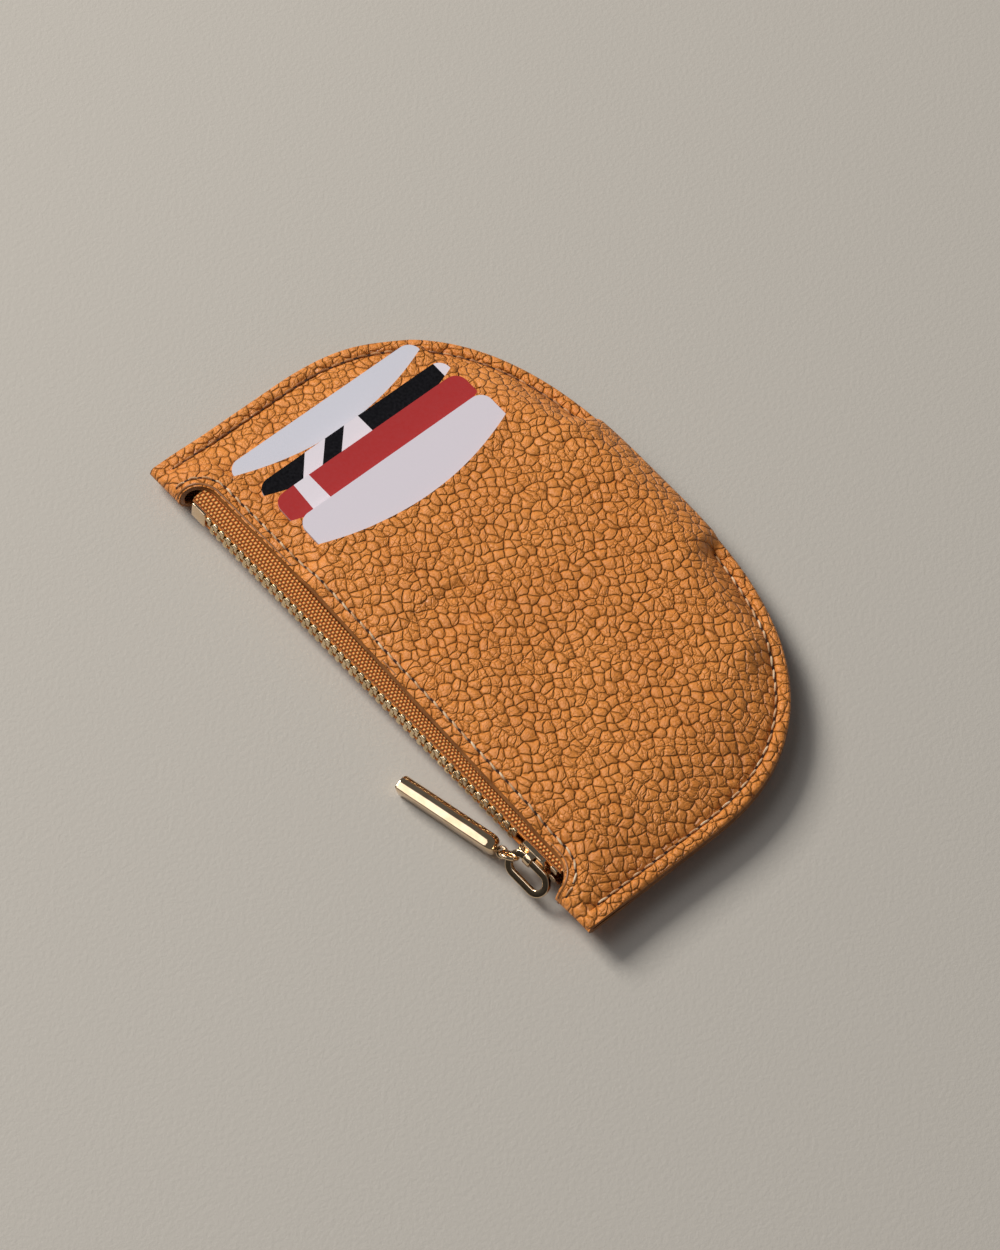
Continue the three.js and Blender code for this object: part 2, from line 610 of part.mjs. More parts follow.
function sliderAndPull() {
  const onSlider = (mesh) => layOnChain(mesh, SLIDER_X);
  addNode("slider_front_plate", joined([...sliderPlate(1), crown()]), METAL_LOOK, onSlider);
  addNode("slider_back_plate", joined(sliderPlate(-1)), METAL_LOOK, onSlider);
  addNode("pull_link_ring", wireRing(LINK.straight, LINK.round, LINK.wire, 40), METAL_LOOK, (mesh) => {
    mesh.setRotationFromMatrix(basisOf(alongChain, LINK_DOWN));
    mesh.position.copy(LINK_MIDDLE);
  });
  addNode("pull_loop", wireRing(0, LOOP.radius, LOOP.wire, 32), METAL_LOOK, (mesh) => {
    mesh.setRotationFromMatrix(basisOf(LOOP_WAY, LOOP_SIDE));
    mesh.position.copy(LOOP_MIDDLE);
  });
  addNode("pull_bar", barGeometry(), METAL_LOOK, (mesh) => {
    mesh.setRotationFromMatrix(basisOf(BAR_WAY, new THREE.Vector3(0, 1, 0)));
    mesh.position.copy(BAR_EYE);
  });
}

// ---- Stitching: one continuous thread just above the leather along each seam ----

function threadAlong(points) {
  const half = 0.25;
  const lift = 0.12;
  const cells = [];
  const corner = (i, side) => {
    const [x, v, z] = points[i];
    const [x0, v0] = points[Math.max(0, i - 1)];
    const [x1, v1] = points[Math.min(points.length - 1, i + 1)];
    const length = Math.hypot(x1 - x0, v1 - v0);
    const px = x - (side * half * (v1 - v0)) / length;
    const pv = v + (side * half * (x1 - x0)) / length;
    return { key: i + "," + side, outer: [px, pv, z + lift + 0.4], inner: [px, pv, z + lift] };
  };
  for (let i = 0; i + 1 < points.length; i++) {
    cells.push([corner(i, -1), corner(i + 1, -1), corner(i + 1, 1), corner(i, 1)]);
  }
  return sheetGeometry(cells);
}

const flangeZ = (x) => rimZ(x) + RIM_HALF + 0.3;

// Points along the rim seam, inset from the outline, from the fold corner to the pocket mouth.
function rimSeam(sign, mouth) {
  const points = [];
  const steps = 40;
  for (let i = 0; i <= steps; i++) {
    const turn = (i / steps) * (Math.PI / 2);
    const x = FLAT_HALF + (HALF_LENGTH - FLAT_HALF) * Math.cos(turn) ** (2 / CORNER_POWER);
    const v = SIDE + (DEPTH - SIDE) * Math.sin(turn) ** (2 / CORNER_POWER);
    const nx = (x - FLAT_HALF) ** (CORNER_POWER - 1) / (HALF_LENGTH - FLAT_HALF) ** CORNER_POWER;
    const nv = (v - SIDE) ** (CORNER_POWER - 1) / (DEPTH - SIDE) ** CORNER_POWER;
    const length = Math.hypot(nx, nv);
    const inset = RIM_WIDTH - 1;
    const px = x - (inset * nx) / length;
    if (px > mouth) points.push([sign * px, v - (inset * nv) / length]);
  }
  points.unshift([points[0][0], 8], [points[0][0], 20]);
  return points.map(([x, v]) => [x, v, flangeZ(x)]);
}

function windowSeam() {
  const inset = 2.6;
  const end = WINDOW_END - WINDOW_V;
  const round = WINDOW_V + inset;
  const points = [];
  const arc = (sign, from, to) => {
    for (let i = 0; i <= 8; i++) {
      const turn = lerp(from, to, i / 8);
      points.push([sign * end + round * Math.cos(turn), round * Math.sin(turn)]);
    }
  };
  arc(-1, Math.PI * 0.86, Math.PI / 2);
  for (let x = -44; x < 50; x += 8) points.push([x, round]);
  arc(1, Math.PI / 2, Math.PI * 0.14);
  return points;
}

const MOUTH_HALF = 22; // the rim is left open between the seams: the mouth of the slip pocket

function stitching() {
  addNode("rim_stitching_left", threadAlong(rimSeam(-1, MOUTH_HALF)), THREAD_LOOK);
  addNode("rim_stitching_right", threadAlong(rimSeam(1, MOUTH_HALF)), THREAD_LOOK);
  const seam = windowSeam();
  const over = seam.map(([x, v]) => [x, v, frontZ(x, v) + 0.25]);
  const under = seam.map(([x, v]) => [x, v, backZ(x, v) - 0.72]);
  addNode("window_stitching_front", threadAlong(over), THREAD_LOOK);
  addNode("window_stitching_back", threadAlong(under), THREAD_LOOK);
}

addNode("outer_leather", outerLeather(), LEATHER_LOOK);
innerSheets();
cards();
zip();
sliderAndPull();
stitching();

export default pouch;
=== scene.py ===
"""Half-moon zippered card pouch: the looks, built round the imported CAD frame.

Shapes are worked out in millimetres as (x, v, z), where v is the distance from the folded zip edge,
and mesh() shifts them into the part's frame in metres.
"""
import math

import bmesh
import bpy
import numpy as np
from mathutils import Matrix, Vector, noise


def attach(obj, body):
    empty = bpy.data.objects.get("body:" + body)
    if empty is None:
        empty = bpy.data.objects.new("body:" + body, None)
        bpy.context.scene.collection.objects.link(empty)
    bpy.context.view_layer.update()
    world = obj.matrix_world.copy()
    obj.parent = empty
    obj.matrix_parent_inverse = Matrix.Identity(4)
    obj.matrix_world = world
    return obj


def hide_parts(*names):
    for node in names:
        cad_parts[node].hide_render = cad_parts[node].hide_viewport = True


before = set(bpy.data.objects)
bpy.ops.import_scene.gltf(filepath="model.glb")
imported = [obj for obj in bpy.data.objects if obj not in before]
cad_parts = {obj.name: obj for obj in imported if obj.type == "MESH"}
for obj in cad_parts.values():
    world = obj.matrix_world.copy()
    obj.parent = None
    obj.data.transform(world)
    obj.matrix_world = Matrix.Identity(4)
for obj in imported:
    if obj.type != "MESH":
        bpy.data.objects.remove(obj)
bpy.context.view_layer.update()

# ---- Sizes, the same as the CAD's ----

HALF_LENGTH, DEPTH, SIDE, FLAT_HALF, POWER, REST_V = 76.0, 86.0, 34.0, 5.0, 2.46, 44.0
LEATHER, RIM_HALF, RIM_Z, RIM_TILT, FOLD_Z = 0.8, 1.5, 5.25, 0.0204, 5.2
FOLD_FRONT, FOLD_BACK, FOLD_ROUND = 4.7, 4.2, 5.0
WINDOW_END, WINDOW_V = 65.0, 6.0
CARD_LENGTH, CARD_THICK, CLEAR, CARD_STACK, CARD_Z = 85.6, 0.76, 0.1, 1.35, 7.1
CARD_STEP = CARD_THICK + LEATHER + 2 * CLEAR
SLIT_X = [-61.6, -52.2, -42.4, -32.8]
SLIT_V = [38.7, 40.2, 40.2, 40.6]
CARD_SHOWS = [2.7, 2.9, 6.6, 7.6]
SLIT_HALF, SLIT_BOW, SLIT_GAP = 28.6, 6.2, 0.2
OVER_CARD = CARD_THICK / 2 + CLEAR + LEATHER
UNDER_CARD = -CARD_THICK / 2 - CLEAR
RIM_LEATHER = 1.17
SEAM, WINDOW_SEAM = 3.3, 2.3
RIM_THREAD_LIFT, WINDOW_THREAD_LIFT = 0.3, 0.14
MOUTH = 22.0
CHAIN_V, CHAIN_Z, CHAIN_TURN, CHAIN_SLOPE = 2.3, 5.7, math.radians(8), math.radians(1.8)
CHAIN_START, CHAIN_END, PITCH = -56.4, 49.2, 2.3
SLIDER_X = 54.9


def clamp01(t):
    return np.clip(t, 0.0, 1.0)


def lerp(a, b, t):
    return a + (b - a) * t


def smooth(t, start, end):
    s = clamp01((np.asarray(t, float) - start) / (end - start))
    return s * s * (3 - 2 * s)


# ---- Meshes ----

def metres(points):
    points = np.asarray(points, float).reshape(-1, 3)
    return (points - [0, REST_V, 0]) / 1000


def mesh(name, points, faces, materials, body="pouch", replaces=(), face_slots=None, flat=None,
         sharp=40):
    """A smooth-shaded piece from points in millimetres, riding on a body."""
    data = bpy.data.meshes.new(name)
    data.from_pydata(metres(points).tolist(), [], faces)
    if face_slots is not None:
        data.polygons.foreach_set("material_index", face_slots)
    for material in materials:
        data.materials.append(material)
    if flat is not None:
        layer = data.attributes.new("flat", "FLOAT_VECTOR", "POINT")
        layer.data.foreach_set("vector", np.asarray(flat, float).ravel())
    work = bmesh.new()
    work.from_mesh(data)
    bmesh.ops.recalc_face_normals(work, faces=work.faces)
    work.to_mesh(data)
    work.free()
    data.polygons.foreach_set("use_smooth", [True] * len(data.polygons))
    data.set_sharp_from_angle(angle=math.radians(sharp))
    piece = bpy.data.objects.new(name, data)
    bpy.context.collection.objects.link(piece)
    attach(piece, body)
    if replaces:
        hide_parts(*replaces)
    return piece


def loft(rings, loop=False):
    """Faces through rings of equal length; the ends are capped unless the rings form a loop."""
    count, size = len(rings), len(rings[0])
    faces = []
    for i in range(count if loop else count - 1):
        a, b = i * size, (i + 1) % count * size
        for j in range(size):
            k = (j + 1) % size
            faces.append((a + j, a + k, b + k, b + j))
    if not loop:
        faces.append(tuple(range(size - 1, -1, -1)))
        faces.append(tuple((count - 1) * size + j for j in range(size)))
    return [tuple(p) for ring in rings for p in ring], faces


def join(parts):
    points, faces = [], []
    for part_points, part_faces in parts:
        start = len(points)
        points.extend(part_points)
        faces.extend(tuple(start + i for i in face) for face in part_faces)
    return points, faces


def move(part, matrix):
    """A part with its points moved by a 4x4 matrix, still in millimetres."""
    points, faces = part
    return [tuple(matrix @ Vector(p)) for p in points], faces


def rounded_rectangle(half_a, half_b, corner, steps=3):
    points = []
    for turn, (sa, sb) in enumerate(((1, 1), (-1, 1), (-1, -1), (1, -1))):
        for i in range(steps + 1):
            angle = (turn + i / steps) * math.pi / 2
            points.append((sa * (half_a - corner) + corner * math.cos(angle),
                           sb * (half_b - corner) + corner * math.sin(angle)))
    return points


def inset_outline(outline, inset):
    """A closed outline moved inwards along its normals."""
    count, result = len(outline), []
    for i in range(count):
        (x0, y0), (x1, y1) = outline[i - 1], outline[(i + 1) % count]
        length = math.hypot(x1 - x0, y1 - y0) or 1
        x, y = outline[i]
        result.append((x - inset * (y1 - y0) / length, y + inset * (x1 - x0) / length))
    return result


def prism(outline, low, high, bevel, steps=3):
    """A plate between two heights whose edges are rounded; the outline runs anticlockwise."""
    rings = []
    for side, level in ((-1, low), (1, high)):
        turns = range(steps + 1) if side < 0 else range(steps, -1, -1)
        for i in turns:
            angle = i / steps * math.pi / 2
            ring = inset_outline(outline, bevel * (1 - math.sin(angle)))
            z = level - side * bevel * (1 - math.cos(angle))
            rings.append([(x, y, z) for x, y in ring])
    return loft(rings)


def tube(path, radius, sides=8, loop=False):
    """A round tube along points; radius is one number, or one for each point."""
    points = [Vector(p) for p in path]
    count = len(points)
    radii = radius if hasattr(radius, "__len__") else [radius] * count
    turns = [2 * math.pi * k / sides for k in range(sides)]
    circle = [(math.cos(turn), math.sin(turn)) for turn in turns]
    rings, across = [], None
    for i, point in enumerate(points):
        ahead = points[(i + 1) % count] if loop or i + 1 < count else point
        behind = points[i - 1] if loop or i > 0 else point
        along = (ahead - behind).normalized()
        if across is None:
            across = along.orthogonal().normalized()
        across = (across - along * across.dot(along)).normalized()
        up = along.cross(across)
        rings.append([point + radii[i] * (a * across + b * up) for a, b in circle])
    return loft(rings, loop)


def distances(points):
    """How far along a path each of its points lies."""
    return np.concatenate([[0], np.cumsum(np.linalg.norm(np.diff(points, axis=0), axis=1))])


def resample(path, step):
    """Points every step millimetres along a path."""
    points = np.asarray(path, float)
    lengths = distances(points)
    count = max(2, int(round(lengths[-1] / step)) + 1)
    at = np.linspace(0, lengths[-1], count)
    return np.column_stack([np.interp(at, lengths, points[:, k]) for k in range(3)])


# ---- Shape of the pouch ----

def far_edge(x):
    across = clamp01((np.abs(x) - FLAT_HALF) / (HALF_LENGTH - FLAT_HALF))
    return SIDE + (DEPTH - SIDE) * (1 - across ** POWER) ** (1 / POWER)


def in_from_rim(x, v):
    across = np.maximum(0, np.abs(x) - FLAT_HALF)
    up = np.maximum(0, v - SIDE)
    share = ((across / (HALF_LENGTH - FLAT_HALF)) ** POWER + (up / (DEPTH - SIDE)) ** POWER) ** (1 / POWER)
    share = np.maximum(share, 1e-6)
    return np.minimum(DEPTH - SIDE, (1 / share - 1) * np.maximum(np.hypot(across, up), 1e-6))


def rim_z(x):
    return RIM_Z + RIM_TILT * x


def fold_z(x):
    return lerp(FOLD_Z, rim_z(x), smooth(np.abs(x), WINDOW_END - 4, HALF_LENGTH))


def fold_half(x, up):
    drop = smooth(np.abs(x), WINDOW_END - 2, HALF_LENGTH - 1) ** 1.4
    return lerp(FOLD_FRONT if up > 0 else FOLD_BACK, RIM_HALF, drop)


def fold_round(x):
    return lerp(FOLD_ROUND, RIM_HALF, smooth(np.abs(x), WINDOW_END, HALF_LENGTH))


def rounding(x, v):
    return np.sqrt(1 - (1 - clamp01(v / fold_round(x))) ** 2)


def window_v(x):
    past = (np.abs(x) - (WINDOW_END - WINDOW_V)) / WINDOW_V
    return np.where(past >= 1, 0.0, WINDOW_V * np.sqrt(1 - clamp01(past) ** 2))


def from_window(x, v):
    """Distance outside the rounded window in the fold."""
    past = np.maximum(0, np.abs(x) - (WINDOW_END - WINDOW_V))
    return np.hypot(past, v) - WINDOW_V


def slit_z(k):
    return CARD_Z + CARD_STEP * k


def card_left(k):
    return SLIT_X[k] - CARD_SHOWS[k]


def card_right(k):
    return card_left(k) + CARD_LENGTH


def card_height(k, x):
    slope = (CARD_STEP - CARD_STACK) * k / (card_right(k) - SLIT_X[k])
    return slit_z(k) - slope * (x - SLIT_X[k])


def slit_middle(x):
    return np.interp(x, SLIT_X, SLIT_V)


def step_height(column, side):
    """Leaf height over the cards, with a step at each slit."""
    passed = np.zeros_like(column)
    for slit in SLIT_X:
        passed += (column > slit + 1e-6) | ((np.abs(column - slit) <= 1e-6) & (side > 0))
    over = slit_z(np.maximum(passed, 1) - 1) + OVER_CARD
    height = np.where(passed == 0, slit_z(0) + UNDER_CARD, over)
    return np.where(passed == len(SLIT_X), card_height(3, column) + OVER_CARD, height)


def ramp_height(x):
    slope = (slit_z(3) - slit_z(0)) / (SLIT_X[3] - SLIT_X[0])
    ramp = slit_z(0) + 0.5 + slope * (x - SLIT_X[0])
    over = card_height(3, x) + OVER_CARD + 0.7 * np.cos((x - 8) / 40)
    # a soft minimum of the two, so the leaf has no ridge where the cards begin
    blend = clamp01(0.5 + (over - ramp) / 3)
    return lerp(over, ramp, blend) - 1.5 * blend * (1 - blend)


def mouth_share(x, v):
    """1 along the unstitched mouth of the slip pocket, 0 elsewhere."""
    return (1 - smooth(np.abs(x), MOUTH - 3, MOUTH + 2.5)) * smooth(v, 55, 68)


def front_height(x, v, column=None, side=0):
    """Outer height of the front leaf; column is x with the bow of the slits taken out."""
    column = x if column is None else column
    inset = in_from_rim(x, v)
    mouth = mouth_share(x, v)
    flange = rim_z(x) + RIM_HALF - 0.5 * (1 - np.sqrt(1 - clamp01(1 - inset / 0.7) ** 2))
    start = lerp(SEAM, -1.0, mouth)
    width = lerp(10.5, 12.5, mouth) + 8 * smooth(x, 15, 60)
    rise = 1 - (1 - clamp01((inset - start) / width)) ** 2
    main = lerp(flange, np.maximum(flange, ramp_height(column)), rise)
    zip_side = fold_z(x) + fold_half(x, 1) * rounding(x, v)
    eased = lerp(zip_side, main, smooth(v, WINDOW_V - 1, 16))
    # the sewn seams pull the leather down, and it swells a little beside them
    down = clamp01(v / 4)
    eased = eased + down * (1 - mouth) * 0.32 * clamp01(1 - ((inset - 1.7) / 1.6) ** 2)
    eased = eased - down * (1 - mouth) * 0.6 * np.exp(-((inset - SEAM) / 0.55) ** 2)
    beside = from_window(x, v) - WINDOW_SEAM
    eased = eased - 0.3 * np.exp(-(beside / 0.45) ** 2) + 0.25 * np.exp(-((beside - 2.2) / 1.5) ** 2)
    off = np.abs(v - slit_middle(column))
    near = 1 - smooth(off, 27.0, SLIT_HALF)
    far = 1 - smooth(off, 27.0, 40.0)
    step = step_height(column, side)
    before = (column < SLIT_X[0] - 1e-6) | ((np.abs(column - SLIT_X[0]) <= 1e-6) & (np.asarray(side) < 0))
    past = (column > SLIT_X[3] + 1e-6) | ((np.abs(column - SLIT_X[3]) <= 1e-6) & (np.asarray(side) > 0))
    before_height = lerp(eased, np.minimum(eased, step), near * smooth(column, -72, -66))
    among_height = lerp(eased, step, near)
    beyond = smooth(column, SLIT_X[3], SLIT_X[3] + 8)
    wide = far * beyond + near * (1 - beyond)
    after = 1 - smooth(column, card_right(3) + 0.5, card_right(3) + 9)
    past_height = lerp(eased, np.maximum(step, eased), wide * after)
    return np.where(before, before_height, np.where(past, past_height, among_height))


def back_height(x, v):
    flange = rim_z(x) - RIM_HALF
    rise = 1 - (1 - clamp01((in_from_rim(x, v) - SEAM) / 20)) ** 3
    main = flange * (1 - rise)
    zip_side = fold_z(x) - fold_half(x, -1) * rounding(x, v)
    return np.maximum(0, lerp(zip_side, main, smooth(v, WINDOW_V, 15)))


def bow_at(column, v):
    off = (v - slit_middle(column)) / SLIT_HALF
    fade = np.where(column < SLIT_X[0], smooth(column, -75, SLIT_X[0]), 1 - smooth(column, SLIT_X[3], 25))
    return np.where(np.abs(off) >= 1, 0.0, SLIT_BOW * (1 - off ** 2) * fade)


def skewed(point):
    """The fold line bows out a little near the open end of the zip and in near its closed end."""
    x, v, z = point
    shift = -1.5 * (1 - float(smooth(x, -66, -24))) + 0.35 * float(smooth(x, 30, 70))
    return Vector((x, v + shift * (1 - float(smooth(v, 0, 15))), z))


# ---- The folded leather ----

def leather_columns():
    """Columns along the zip: closer together at the rims and round the ends of the window."""
    edge = [HALF_LENGTH - (HALF_LENGTH - WINDOW_END) * (i / 16) ** 1.5 for i in range(17)]
    arc = [WINDOW_END - WINDOW_V + WINDOW_V * math.cos(i / 10 * math.pi / 2) for i in range(1, 11)]
    side = edge + arc
    inner = WINDOW_END - WINDOW_V
    keys = sorted({-inner, *SLIT_X[1:], inner})
    middle = []
    for start, end in zip(keys, keys[1:]):
        count = max(2, math.ceil(end - start))
        middle.extend(start + (end - start) * i / count for i in range(1, count))
        middle.append(end)
    left = sorted([-x for x in side] + [SLIT_X[0]])
    return np.array(left + middle[:-1] + sorted(side))


def front_rows(columns):
    far = far_edge(columns)
    middle = slit_middle(columns)
    low = np.minimum(middle - SLIT_HALF, far * 0.3)
    high = np.minimum(middle + SLIT_HALF, far - 4)
    start = window_v(columns)
    near = [(i / 14) ** 1.2 for i in range(14)]
    offs = [-SLIT_HALF, -28.1, -27.6, -27.1, *np.linspace(-26, 26, 48), 27.1, 27.6, 28.1, SLIT_HALF]
    band = [(off + SLIT_HALF) / (2 * SLIT_HALF) for off in offs]
    edge = [1 - (1 - i / 26) ** 1.35 for i in range(1, 27)]
    rows = [lerp(start, low, t) for t in near]
    rows += [lerp(low, high, t) for t in band]
    rows += [lerp(high, far, t) for t in edge]
    return np.array(rows).T, len(near), len(near) + len(band) - 1


def back_rows(columns):
    shares = [(i / 40) ** 1.3 for i in range(30)]
    last = shares[-1]
    shares += [last + (1 - last) * (1 - (1 - i / 24) ** 1.35) for i in range(1, 25)]
    start, far = window_v(columns), far_edge(columns)
    return np.array([lerp(start, far, t) for t in shares]).T


def ripple(x, v):
    """Slow unevenness of soft leather, in millimetres."""
    slow = noise.noise(Vector((x * 0.07, v * 0.07, 1.3)))
    quick = noise.noise(Vector((x * 0.2, v * 0.2, 7.1)))
    return 0.16 * slow + 0.07 * quick


def leather_shell():
    columns = leather_columns()
    fronts, band_start, band_end = front_rows(columns)
    backs = back_rows(columns)
    grid = np.broadcast_to(columns[:, None], fronts.shape)
    bow = bow_at(grid, fronts)
    xs = grid + bow
    heights = {side: front_height(xs, fronts, grid, side) for side in (-1, 1)}
    back_grid = np.broadcast_to(columns[:, None], backs.shape)
    lows = back_height(back_grid, backs)
    slits = [i for i, x in enumerate(columns) if min(abs(x - s) for s in SLIT_X) < 1e-6]
    in_window = np.abs(columns) < WINDOW_END - 1e-6
    thick = lerp(RIM_LEATHER, LEATHER, smooth(in_from_rim(xs, fronts), 3.6, 5.5))
    thick_back = lerp(RIM_LEATHER, LEATHER, smooth(in_from_rim(back_grid, backs), 3.6, 5.5))

    def inner(x, v, z, up, wall):
        round_ = float(fold_round(x))
        if v >= round_ or float(window_v(x)) > 0:
            return x, v, z - up * wall
        middle, whole = float(fold_z(x)), float(fold_half(x, up))
        shrink = (whole - wall) / whole
        return x, round_ - (round_ - v) * ((round_ - wall) / round_), middle + up * abs(z - middle) * shrink

    points, flats, seen = [], [], {}

    def at(key, point, flat):
        if key not in seen:
            seen[key] = len(points)
            points.append(point)
            flats.append(flat)
        return seen[key]

    def front(i, j, side):
        split = i in slits and band_start < j < band_end
        x, v, z = xs[i, j], fronts[i, j], heights[side if split else 1][i, j]
        if split:
            x += side * SLIT_GAP
        z += ripple(x, v) * float(clamp01(in_from_rim(x, v) / 8)) * float(clamp01((v - 3) / 8))
        key = ("fold", i) if j == 0 and not in_window[i] else ("f", i, j, side if split else 0)
        if key[0] == "fold":
            z = float(fold_z(x))
        outer = at(("o", key), (x, v, z), (x, v, 0))
        return outer, at(("i", key), inner(x, v, z, 1, thick[i, j]), (x, v, 0)), key

    def back(i, j):
        if j == 0 and not in_window[i]:
            return front(i, 0, 1)
        x, v, z = columns[i], backs[i, j], lows[i, j]
        key = ("b", i, j)
        outer = at(("o", key), (x, v, z), (x, -v, 0))
        return outer, at(("i", key), inner(x, v, z, -1, thick_back[i, j]), (x, -v, 0)), key

    faces, face_slots, edges = [], [], {}

    def cell(corners):
        faces.append(tuple(c[0] for c in corners))
        face_slots.append(0)
        faces.append(tuple(c[1] for c in reversed(corners)))
        face_slots.append(2)
        for a, b in zip(corners, corners[1:] + corners[:1]):
            if (b[2], a[2]) in edges:
                del edges[(b[2], a[2])]
            else:
                edges[(a[2], b[2])] = (b[0], a[0], a[1], b[1])

    for i in range(len(columns) - 1):
        for j in range(fronts.shape[1] - 1):
            cell([front(i, j, 1), front(i + 1, j, -1), front(i + 1, j + 1, -1), front(i, j + 1, 1)])
        for j in range(backs.shape[1] - 1):
            cell([back(i, j), back(i, j + 1), back(i + 1, j + 1), back(i + 1, j)])
    faces.extend(edges.values())
    face_slots.extend([1] * len(edges))
    points = [skewed(p) for p in points]
    materials = [LEATHER_MATERIAL, EDGE_MATERIAL, SUEDE_MATERIAL]
    return mesh("folded_leather", points, faces, materials, replaces=("outer_leather",),
                face_slots=face_slots, flat=flats, sharp=50)


def window_outline(count=260):
    """Points all round the window's edge, each with the way into the window and the leaf's normal."""
    end = WINDOW_END - WINDOW_V
    quarter = math.pi / 2 * WINDOW_V
    total = 2 * end + 2 * quarter
    result = []
    for up in (1, -1):
        for i in range(count):
            way = (i + 0.5) / count * total
            if way < quarter:
                angle = way / WINDOW_V
                nx, nv = -math.cos(angle), math.sin(angle)
                x, v = -end + WINDOW_V * nx, WINDOW_V * nv
            elif way < quarter + 2 * end:
                x, v, nx, nv = -end + way - quarter, WINDOW_V, 0.0, 1.0
            else:
                angle = (way - quarter - 2 * end) / WINDOW_V
                nx, nv = math.sin(angle), math.cos(angle)
                x, v = end + WINDOW_V * nx, WINDOW_V * nv
            lean = 1 - min(1.0, v / float(fold_round(x)))
            out = Vector((0, -lean, up * math.sqrt(max(0.0, 1 - lean * lean)))).normalized()
            into = Vector((-nx, -nv, 0))
            into = (into - out * into.dot(out)).normalized()
            z = float(front_height(x, v)) if up > 0 else float(back_height(x, v))
            result.append((Vector((x, v, z)), into, out))
        if up > 0:
            first, result = result, []
    return first + result[::-1]


EDGE_SECTION = [(-0.9, 0.0), (-0.8, 0.1), (-0.62, 0.13), (-0.45, 0.08), (-0.1, -0.25), (0.2, -0.62),
                (0.4, -0.95), (0.42, -1.2), (0.25, -1.38), (-0.1, -1.45), (-0.6, -1.45)]


def window_band():
    """The painted cut edge round the window, thick and rounded."""
    rings = []
    for n, (point, into, out) in enumerate(window_outline()):
        point = skewed(point)
        wave = 0.09 * noise.noise(Vector((point.x * 0.16, n * 0.004, 3.0)))
        rings.append([point + into * (a + wave) + out * (b + wave) for a, b in EDGE_SECTION])
    points, faces = loft(rings, loop=True)
    flats = [(p[0], p[1], 0) for p in points]
    return mesh("window_edge_band", points, faces, [EDGE_MATERIAL], flat=flats)


# ---- Stitching ----

def stitch_line(path, name, node, material, pitch=3.2, length=2.5, radius=0.27, slant=0.12):
    """Separate stitches along a path of (point, out) pairs, each dipping into the leather at both ends."""
    points = np.array([tuple(p) for p, _ in path])
    outs = np.array([tuple(o) for _, o in path])
    lengths = distances(points)
    count = int(lengths[-1] / pitch)
    spare = lengths[-1] - count * pitch
    threads, holes = [], []

    def at(way):
        point = Vector([np.interp(way, lengths, points[:, k]) for k in range(3)])
        out = Vector([np.interp(way, lengths, outs[:, k]) for k in range(3)]).normalized()
        return point, out

    for i in range(count):
        middle = spare / 2 + (i + 0.5) * pitch
        jitter = noise.noise(Vector((i * 1.7, len(name), 0.5)))
        rings_path, radii = [], []
        for k in range(9):
            t = k / 4 - 1
            point, out = at(middle + t * length / 2)
            ahead, _ = at(middle + t * length / 2 + 0.05)
            side = (ahead - point).cross(out).normalized()
            lift = 0.26 * (1 - t * t) - 0.2 * t * t
            rings_path.append(point + out * lift + side * (t * slant * length / 2 + 0.08 * jitter))
            radii.append(radius * (0.55 + 0.45 * math.sqrt(max(0, 1 - t * t))))
        threads.append(tube(rings_path, radii, sides=8))
        # painted shade: a dark brown ring at each end of a stitch stands in for the shade inside the needle
        # hole
        for t in (-1, 1):
            point, out = at(middle + t * (length / 2 + 0.1))
            ahead, _ = at(middle + t * (length / 2 + 0.1) + 0.05)
            along = (ahead - point).normalized()
            side = along.cross(out).normalized()
            rings = []
            for size, level in ((0.42, -0.05), (0.4, 0.03), (0.25, 0.05)):
                rings.append([point + out * level + size * (math.cos(a) * along + 0.75 * math.sin(a) * side)
                              for a in np.linspace(0, 2 * math.pi, 9)[:-1]])
            holes.append(loft(rings))
    thread_points, thread_faces = join(threads)
    hole_points, hole_faces = join(holes)
    thread = mesh(name, thread_points, thread_faces, [material], replaces=(node,))
    mesh(name + "_needle_hole_shade", hole_points, hole_faces, [HOLE_SHADE_MATERIAL])
    return thread


def surface_normal(x, v, up=1, step=0.6):
    height = front_height if up > 0 else back_height
    dx = (float(height(x + step, v)) - float(height(x - step, v))) / (2 * step)
    dv = (float(height(x, v + step)) - float(height(x, max(0.0, v - step)))) / (2 * step)
    return Vector((-dx, -dv, 1)).normalized() * up


def rim_path(sign):
    path = []
    for i in range(161):
        turn = i / 160 * math.pi / 2
        x = FLAT_HALF + (HALF_LENGTH - FLAT_HALF) * math.cos(turn) ** (2 / POWER)
        v = SIDE + (DEPTH - SIDE) * math.sin(turn) ** (2 / POWER)
        nx = (x - FLAT_HALF) ** (POWER - 1) / (HALF_LENGTH - FLAT_HALF) ** POWER
        nv = (v - SIDE) ** (POWER - 1) / (DEPTH - SIDE) ** POWER
        size = math.hypot(nx, nv)
        px, pv = x - SEAM * nx / size, v - SEAM * nv / size
        if px > MOUTH:
            path.append((sign * px, pv))
    path = [(path[0][0], 4.0 + 6 * k) for k in range(5)] + path
    lifted = [(x, v, float(front_height(x, v)) + RIM_THREAD_LIFT) for x, v in path]
    return [(skewed(point), Vector((0, 0, 1))) for point in lifted]


def window_path(up):
    end = WINDOW_END - WINDOW_V
    size = WINDOW_V + WINDOW_SEAM

    def arc(centre, start, stop):
        return [(centre + size * math.cos(a), size * math.sin(a)) for a in np.linspace(start, stop, 16)]

    flat = arc(-end, math.pi * 0.98, math.pi / 2)
    flat += [(x, size) for x in np.linspace(-end, end, 60)[1:-1]]
    flat += arc(end, math.pi / 2, math.pi * 0.02)
    height = front_height if up > 0 else back_height
    lift = up * WINDOW_THREAD_LIFT
    return [(skewed((x, v, float(height(x, v)) + lift)), surface_normal(x, v, up)) for x, v in flat]


